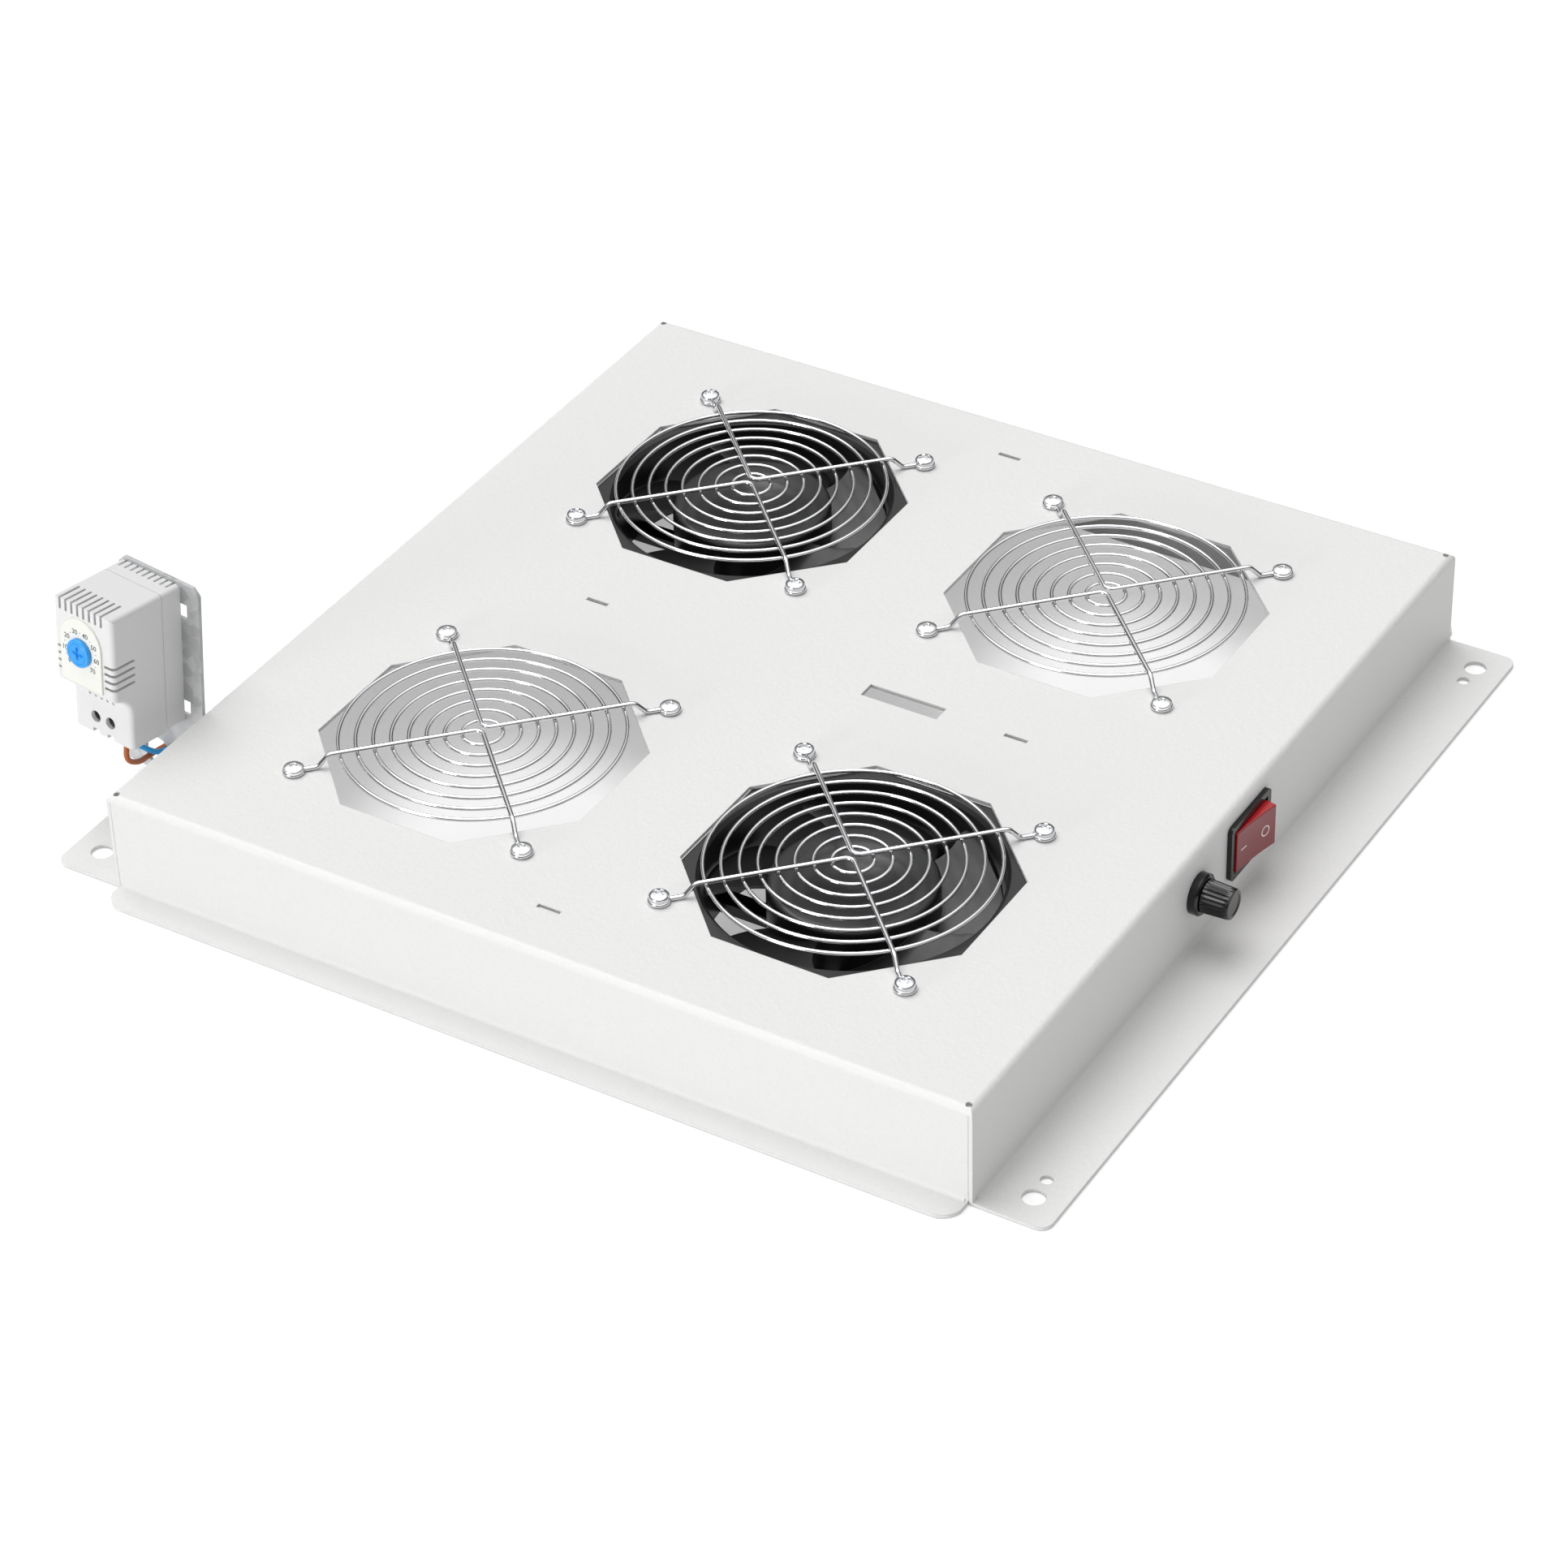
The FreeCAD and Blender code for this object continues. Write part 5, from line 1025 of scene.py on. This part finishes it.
@dataclass
class FuseCap:
    """Fluted, tapered cap of the fuse holder, with a plug that holds the cartridge's end."""

    shop: Workshop
    base: tuple = (190.0, -27.5, 24.4)
    start: float = 4.3
    length: float = 11.5
    foot_radius: float = 6.75
    end_radius: float = 6.25
    plug_radius: float = 5.0
    plug_length: float = 9.0
    socket_radius: float = 2.65
    socket_floor: float = 2.0
    flutes: int = 22
    depth: float = 0.5

    def surface(self) -> Surface:
        """Cap along +X: radius less a flute depth times (1 - cos(n a)) / 2 on the grip."""
        sides = self.flutes * 6
        end = self.start + self.length
        grip = np.linspace(0, 1, 12)
        radius = self.foot_radius + (self.end_radius - self.foot_radius) * grip
        height = self.start + (self.length - 1.0) * grip
        share = np.clip((1 - grip) / 0.06, 0, 1) * np.clip(grip / 0.06, 0, 1)
        plug_end = self.start - self.plug_length
        plug_r = [self.socket_radius, self.socket_radius, self.plug_radius, self.plug_radius]
        plug_x = [self.start - self.socket_floor, plug_end, plug_end, self.start]
        rim_r = [self.end_radius - 0.25, self.end_radius - 0.8, 4.6, 4.3]
        rows_r = np.concatenate([plug_r, radius, rim_r])
        rows_x = np.concatenate([plug_x, height, [end - 0.25, end, end, end - 0.3]])
        rows_s = np.concatenate([np.zeros(len(plug_r)), share, np.zeros(len(rim_r))])
        angle = np.linspace(0, 2 * np.pi, sides, endpoint=False)
        flute = (1 - np.cos(self.flutes * angle)) / 2
        r = rows_r[:, None] - self.depth * rows_s[:, None] * flute[None, :]
        x = np.broadcast_to(rows_x[:, None], r.shape)
        points = np.stack([x, r * np.cos(angle), r * np.sin(angle)], axis=-1).reshape(-1, 3)
        return Surface(points, flipped(run_faces(len(rows_r), sides)))

    def build(self) -> None:
        """Makes the cap and lets it stand for its node."""
        skin = self.surface().moved(self.base)
        piece = make_piece("fuse_cap_fluted", skin, self.shop.finish("black_gloss"), "fuse_cap_turn")
        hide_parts("fuse_cap")


# ---------------------------------------------------------------- thermostat
@dataclass
class ThermostatFrame:
    """Place of the thermostat: turned about +Z, then leaning back about its own X."""

    base: tuple = (-216.8, -133.5, 34.5)
    turn_degrees: float = -8.0
    lean_degrees: float = -5.0
    dial_height: float = 42.0
    dial_shift: float = -1.0
    face_depth: float = 37.8

    def matrix(self) -> np.ndarray:
        """Rotation from the thermostat's own axes to the tray's."""
        lean = math.radians(self.lean_degrees)
        cosine, sine = math.cos(lean), math.sin(lean)
        tilt = np.array([[1, 0, 0], [0, cosine, -sine], [0, sine, cosine]])
        return about_z(self.turn_degrees) @ tilt

    def to_front(self) -> np.ndarray:
        """Rotation that stands a flat drawing up on the thermostat's front."""
        stand = np.array([[1.0, 0, 0], [0, 0, -1.0], [0, 1.0, 0]])
        return self.matrix() @ stand

    def place(self, x: float, y: float, z: float) -> np.ndarray:
        """Point of the tray's frame for a point in the thermostat's own axes."""
        return np.asarray(self.base) + self.matrix() @ np.array([x, y, z])


@dataclass
class SettingDial:
    """Blue dial with a raised rim, a cross recess and a small pointer."""

    shop: Workshop
    frame: ThermostatFrame
    radius: float = 6.0
    reach: float = 1.6
    gap: float = 0.3
    pointer_place: tuple = (-4.4, -4.4, 0.3)

    def top(self, x: np.ndarray, y: np.ndarray) -> np.ndarray:
        """Face: flat, a ring groove near the rim, and the driver cross."""
        reach = np.hypot(x, y)
        edge = np.clip((self.radius - reach) / 0.5, 0, 1)
        rim = self.reach - 0.5 * (1 - np.sqrt(1 - (1 - edge) ** 2))
        groove = np.clip(1 - np.abs(reach - 4.3) / 0.3, 0, 1)
        return rim - 0.3 * groove - 1.0 * cross_recess(x, y, 3.1, 0.6)

    def build(self) -> None:
        """Makes the dial with its spindle and lets it stand for its node."""
        knob = capped_disc(self.radius, self.top, 0.0, 60)
        spindle = lathe([(0, -20.0), (2.0, -20.0), (2.0, 0.1), (0, 0.1)], 24)
        pointer = lathe([(0, 0.0), (0.55, 0.0), (0.55, 0.9), (0, 1.0)], 16).moved(self.pointer_place)
        skin = Surface.joined([knob, spindle, pointer])
        depth = self.frame.face_depth + self.gap
        centre = self.frame.place(self.frame.dial_shift, -depth, self.frame.dial_height)
        placed = skin.moved(tuple(centre), self.frame.to_front())
        piece = make_piece("setting_dial", placed, self.shop.finish("blue_dial"), "dial")
        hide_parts("thermostat_dial")


@dataclass
class DialScale:
    """Plain numbers and dots printed round the dial."""

    shop: Workshop
    frame: ThermostatFrame
    radius: float = 8.65
    first_degrees: float = 223.0
    step_degrees: float = 38.1
    numbers: tuple = (0, 10, 20, 30, 40, 50, 60, 70)
    height: float = 3.0
    lift: float = 0.04
    boldness: float = 0.03
    dot_radius: float = 0.22

    def number(self, value: int, degrees: float) -> bpy.types.Object:
        """Makes one number as a flat mesh on the scale.

        Args:
            value: The number.
            degrees: Its angle on the scale, from the right, anticlockwise.

        Returns:
            The object.
        """
        curve = bpy.data.curves.new(f"scale_{value}", "FONT")
        curve.body = str(value)
        curve.size = self.height
        curve.offset = self.boldness
        curve.align_x = "CENTER"
        curve.align_y = "CENTER"
        curve.resolution_u = 3
        letters = bpy.data.objects.new(f"scale_{value}", curve)
        mesh = bpy.data.meshes.new_from_object(letters)
        bpy.data.objects.remove(letters)
        flat = np.empty(len(mesh.vertices) * 3)
        mesh.vertices.foreach_get("co", flat)
        points = flat.reshape(-1, 3)
        angle = math.radians(degrees)
        points = points + self.radius * np.array([math.cos(angle), math.sin(angle), 0])
        faces = [list(face.vertices) for face in mesh.polygons]
        return self.print_on_face(f"scale_number_{value}", Surface(points, faces))

    def print_on_face(self, name: str, flat: Surface) -> bpy.types.Object:
        """Lays a flat drawing just in front of the scale plate."""
        depth = self.frame.face_depth + self.lift
        centre = self.frame.place(self.frame.dial_shift, -depth, self.frame.dial_height)
        skin = flat.moved(tuple(centre), self.frame.to_front())
        piece = make_piece(name, skin, self.shop.finish("dark_ink"), "tray")
        return piece

    def build(self) -> None:
        """Makes the numbers, and a dot between each two."""
        dots = []
        for index, value in enumerate(self.numbers):
            degrees = self.first_degrees - self.step_degrees * index
            self.number(value, degrees)
            between = math.radians(degrees - self.step_degrees / 2)
            if index + 1 < len(self.numbers):
                centre = (self.radius * math.cos(between), self.radius * math.sin(between), 0.0)
                dots.append(Surface(circle_path(self.dot_radius, centre, 12), [list(range(12))]))
        self.print_on_face("scale_dots", Surface.joined(dots))


@dataclass
class ClampWells:
    """Slotted heads of the two wire clamps, just inside their access holes."""

    shop: Workshop
    frame: ThermostatFrame
    pitch: float = 8.0
    height: float = 7.5
    depth: float = 25.2
    radius: float = 2.42
    thickness: float = 0.8
    slot_turn: float = 35.0

    def head_top(self, x: np.ndarray, y: np.ndarray) -> np.ndarray:
        """Face of a head: flat, with a straight slot and a lowered rim."""
        slot = np.clip((0.35 - np.abs(y)) / 0.12 + 0.5, 0, 1)
        rim = np.clip((np.hypot(x, y) - 2.0) / 0.3, 0, 1)
        return -0.5 * slot - 0.25 * rim

    def build(self) -> None:
        """Makes both heads."""
        head = capped_disc(self.radius, self.head_top, -self.thickness, 36)
        heads = []
        for side in (-1, 1):
            centre = self.frame.place(side * self.pitch / 2, -self.depth, self.height)
            turned = head.moved((0, 0, 0), about_z(self.slot_turn * side))
            heads.append(turned.moved(tuple(centre), self.frame.to_front()))
        shell = self.shop.finish("grey_shell")
        piece = make_piece("clamp_heads", Surface.joined(heads), shell, "tray")


@dataclass
class SeamFill:
    """Powder melted into the narrow seams where the end walls meet the side walls."""

    shop: Workshop
    seam_x: float = 188.35
    face_y: float = 199.95
    depth: float = 1.3
    width: float = 0.36
    low: float = 1.5
    high: float = 41.0

    def build(self) -> None:
        """Makes a strip in each of the four corner seams."""
        outline = ((-0.5, -1), (0.5, -1), (0.5, 0), (-0.5, 0))
        corner = np.array([[x, y, z] for z in (0, 1) for x, y in outline])
        size = np.array([self.width, self.depth, self.high - self.low])
        faces = [[3, 2, 1, 0], [4, 5, 6, 7], [0, 1, 5, 4], [1, 2, 6, 5], [2, 3, 7, 6], [3, 0, 4, 7]]
        strips = []
        for side in (-1, 1):
            centre = (side * self.seam_x, self.face_y, self.low)
            back = Surface(corner * size, faces).moved(centre)
            strips += [back, back.moved((0, 0, 0), about_z(180.0))]
        powder = self.shop.finish("powder_coat")
        piece = make_piece("seam_powder", Surface.joined(strips), powder, "tray")


@dataclass
class Cords:
    """Thermostat cores and cable as smooth curves through their chosen routes."""

    shop: Workshop
    frame: ThermostatFrame
    core_diameter: float = 2.3
    sheath_diameter: float = 5.4
    brown_entry: tuple = (3.0, -19.5)
    blue_entry: tuple = (-4.0, -13.0)
    seat: float = 3.5
    plate_end: float = 7.9
    drop: float = -21.0
    entry: tuple = (-190.0, -92.0, 15.0)

    def cord(self, name: str, route: list, diameter: float, finish: str, node: str) -> None:
        """Makes one cord as a NURBS curve of order 3 on its route's points.

        Args:
            name: Object name.
            route: Points of the tray's frame, in millimetres.
            diameter: Cord diameter.
            finish: Key of its finish, which is also its slot.
            node: The frame node that it stands for.
        """
        curve = bpy.data.curves.new(name, "CURVE")
        curve.dimensions = "3D"
        curve.bevel_depth = diameter / 2 * MM
        curve.bevel_resolution = 5
        curve.resolution_u = 16
        curve.use_fill_caps = True
        spline = curve.splines.new("NURBS")
        spline.points.add(len(route) - 1)
        for point, place in zip(spline.points, route):
            point.co = (*(np.asarray(place) * MM).tolist(), 1.0)
        spline.order_u = 3
        spline.use_endpoint_u = True
        curve.materials.append(self.shop.finish(finish))
        piece = add_object(name, curve)
        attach(piece, "tray")
        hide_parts(node)
        LOG.info("%s: %d route points", name, len(route))

    def build(self) -> None:
        """Makes the brown and blue cores and the sheathed cable."""
        side = self.core_diameter / 2 + 0.2
        end, drop = self.plate_end, self.drop
        brown = [
            (*self.brown_entry, self.seat),
            (*self.brown_entry, -5.5),
            (3.0, -20.5, -14.0),
            (1.5, -12.5, -19.4),
            (-1.0, -5.0, -21.0),
            (-side, 2.0, drop),
            (-side, end, drop),
        ]
        blue = [
            (*self.blue_entry, self.seat),
            (*self.blue_entry, -5.5),
            (-2.5, -10.5, -12.5),
            (0.6, -5.5, -17.2),
            (side, 0.5, drop),
            (side, end, drop),
        ]
        place = self.frame.place
        for colour, route in (("brown", brown), ("blue", blue)):
            points = [place(*point) for point in route]
            finish = colour + "_insulation"
            self.cord(colour + "_core", points, self.core_diameter, finish, "core_" + colour)
        start = place(0, end, drop)
        wall, entry_y, entry_z = self.entry
        cable = [
            start,
            place(0, end + 9, drop),
            start + np.array([6, 18, 2]),
            (wall - 13, entry_y - 2, entry_z),
            (wall - 5, entry_y, entry_z),
            (wall + 5, entry_y, entry_z),
        ]
        self.cord("sheathed_cable", cable, self.sheath_diameter, "grey_sheath", "thermostat_cable")


# -------------------------------------------------------------------- studio
@dataclass
class Studio:
    """Pale floor, soft lamps, white surround and the camera."""

    lens: float = 114.54
    camera_place: tuple = (844.61, -1364.31, 1178.36)
    right: tuple = (0.856815, 0.515067, -0.023960)
    down: tuple = (0.290408, -0.520448, -0.802993)
    forward: tuple = (-0.426065, 0.681058, -0.595507)
    floor_size: float = 12.0
    floor_height: float = -0.0002
    key: tuple = (1.85, 50.0, (0.35, -0.1, -1.0))
    front: tuple = (2.7, 26.0, (0.3, 1.0, 0.0))
    board: float = 0.75
    glow: float = 0.40
    sky: float = 0.42
    tent_low: float = 0.08
    tent_high: float = 1.7

    def camera(self) -> None:
        """Sets up the camera from its three axes."""
        data = bpy.data.cameras.new("camera")
        data.sensor_width = 36.0
        data.lens = self.lens
        data.clip_end = 50.0
        camera = add_object("camera", data)
        axes = Matrix([self.right, [-v for v in self.down], [-v for v in self.forward]]).transposed()
        camera.matrix_world = Matrix.Translation(Vector(self.camera_place) * MM) @ axes.to_4x4()
        bpy.context.scene.camera = camera

    def floor(self) -> None:
        """Lays a large matt white floor under the tray."""
        half = self.floor_size / 2
        mesh = bpy.data.meshes.new("floor")
        signs = ((-1, -1), (1, -1), (1, 1), (-1, 1))
        corners = [(x * half, y * half, self.floor_height) for x, y in signs]
        mesh.from_pydata(corners, [], [(0, 1, 2, 3)])
        floor = add_object("floor", mesh)
        material = cleared(bpy.data.materials.new("matt_white_board"))
        matt = add_node(material, "ShaderNodeBsdfDiffuse", {"Color": (*[self.board] * 3, 1)})
        seen = self.seen(material, 0.0, self.glow)
        glow = add_node(material, "ShaderNodeEmission", {"Strength": seen})
        both = add_node(material, "ShaderNodeAddShader", {0: matt.outputs[0], 1: glow.outputs[0]})
        add_node(material, "ShaderNodeOutputMaterial", {"Surface": both.outputs[0]})
        mesh.materials.append(material)

    def sun(self, name: str, strength: float, spread: float, direction: tuple) -> None:
        """Adds a very soft distant lamp.

        Args:
            name: Lamp name.
            strength: Power on a surface that faces it.
            spread: Angular size in degrees.
            direction: Where its light travels.
        """
        data = bpy.data.lights.new(name, "SUN")
        data.energy = strength
        data.angle = math.radians(spread)
        lamp = add_object(name, data)
        lamp.rotation_euler = Vector(direction).to_track_quat("-Z", "Y").to_euler()

    def seen(self, material, hidden: float, shown) -> bpy.types.NodeSocket:
        """Strength for rays that the eye, metal or glass sends, and for all other rays.

        Args:
            material: Material or world that owns the nodes.
            hidden: Strength for rays that only carry light.
            shown: Strength for rays that show the background, as a number or a socket.

        Returns:
            The strength socket.
        """
        rays = add_node(material, "ShaderNodeLightPath")
        direct = {0: rays.outputs["Is Camera Ray"], 1: rays.outputs["Is Glossy Ray"]}
        mirror = add_node(material, "ShaderNodeMath", direct, operation="MAXIMUM")
        through = {0: mirror.outputs[0], 1: rays.outputs["Is Transmission Ray"]}
        share = add_node(material, "ShaderNodeMath", through, operation="MAXIMUM")
        return ranged(material, share.outputs[0], hidden, shown)

    def surround(self) -> None:
        """White world behind the floor, dimmer as a light, and a tent in reflections.

        In metal the tent is darker near the horizon and brightest overhead, so that
        bright wires keep dark edges.
        """
        world = cleared(bpy.data.worlds.new("surround"))
        bpy.context.scene.world = world
        rays = add_node(world, "ShaderNodeLightPath")
        place = add_node(world, "ShaderNodeTexCoord").outputs["Generated"]
        height = add_node(world, "ShaderNodeSeparateXYZ", {0: place}).outputs["Z"]
        span = {"Value": height, "From Min": 0.35, "From Max": 0.85}
        span.update({"To Min": self.tent_low, "To Max": self.tent_high})
        tent = add_node(world, "ShaderNodeMapRange", span)
        mirror = {0: rays.outputs["Is Glossy Ray"], 2: 1.0, 3: tent.outputs[0]}
        shown = add_node(world, "ShaderNodeMix", mirror).outputs[0]
        strength = self.seen(world, self.sky, shown)
        sky = add_node(world, "ShaderNodeBackground", {"Color": (1, 1, 1, 1), "Strength": strength})
        add_node(world, "ShaderNodeOutputWorld", {"Surface": sky.outputs[0]})

    def build(self) -> None:
        """Sets up camera, floor, lamps and surround."""
        self.camera()
        self.floor()
        self.surround()
        self.sun("key", *self.key)
        self.sun("front", *self.front)
        bpy.context.scene.view_settings.view_transform = "Standard"
        LOG.info("studio ready")


def main() -> None:
    """Builds every sub-assembly in order."""
    logging.basicConfig(level=logging.INFO, format="%(name)s %(message)s")
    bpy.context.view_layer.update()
    shop = Workshop()
    Studio().build()
    shop.dress_nodes()
    for bay in Bay:
        WireGuard(bay, shop).build()
    Fasteners(shop).build()
    for bay in FAN_BAYS:
        Impeller(bay, shop).build()
    RockerButton(shop).build()
    FuseCap(shop).build()
    place = ThermostatFrame()
    SettingDial(shop, place).build()
    DialScale(shop, place).build()
    ClampWells(shop, place).build()
    SeamFill(shop).build()
    Cords(shop, place).build()


if __name__ == "__main__":
    main()
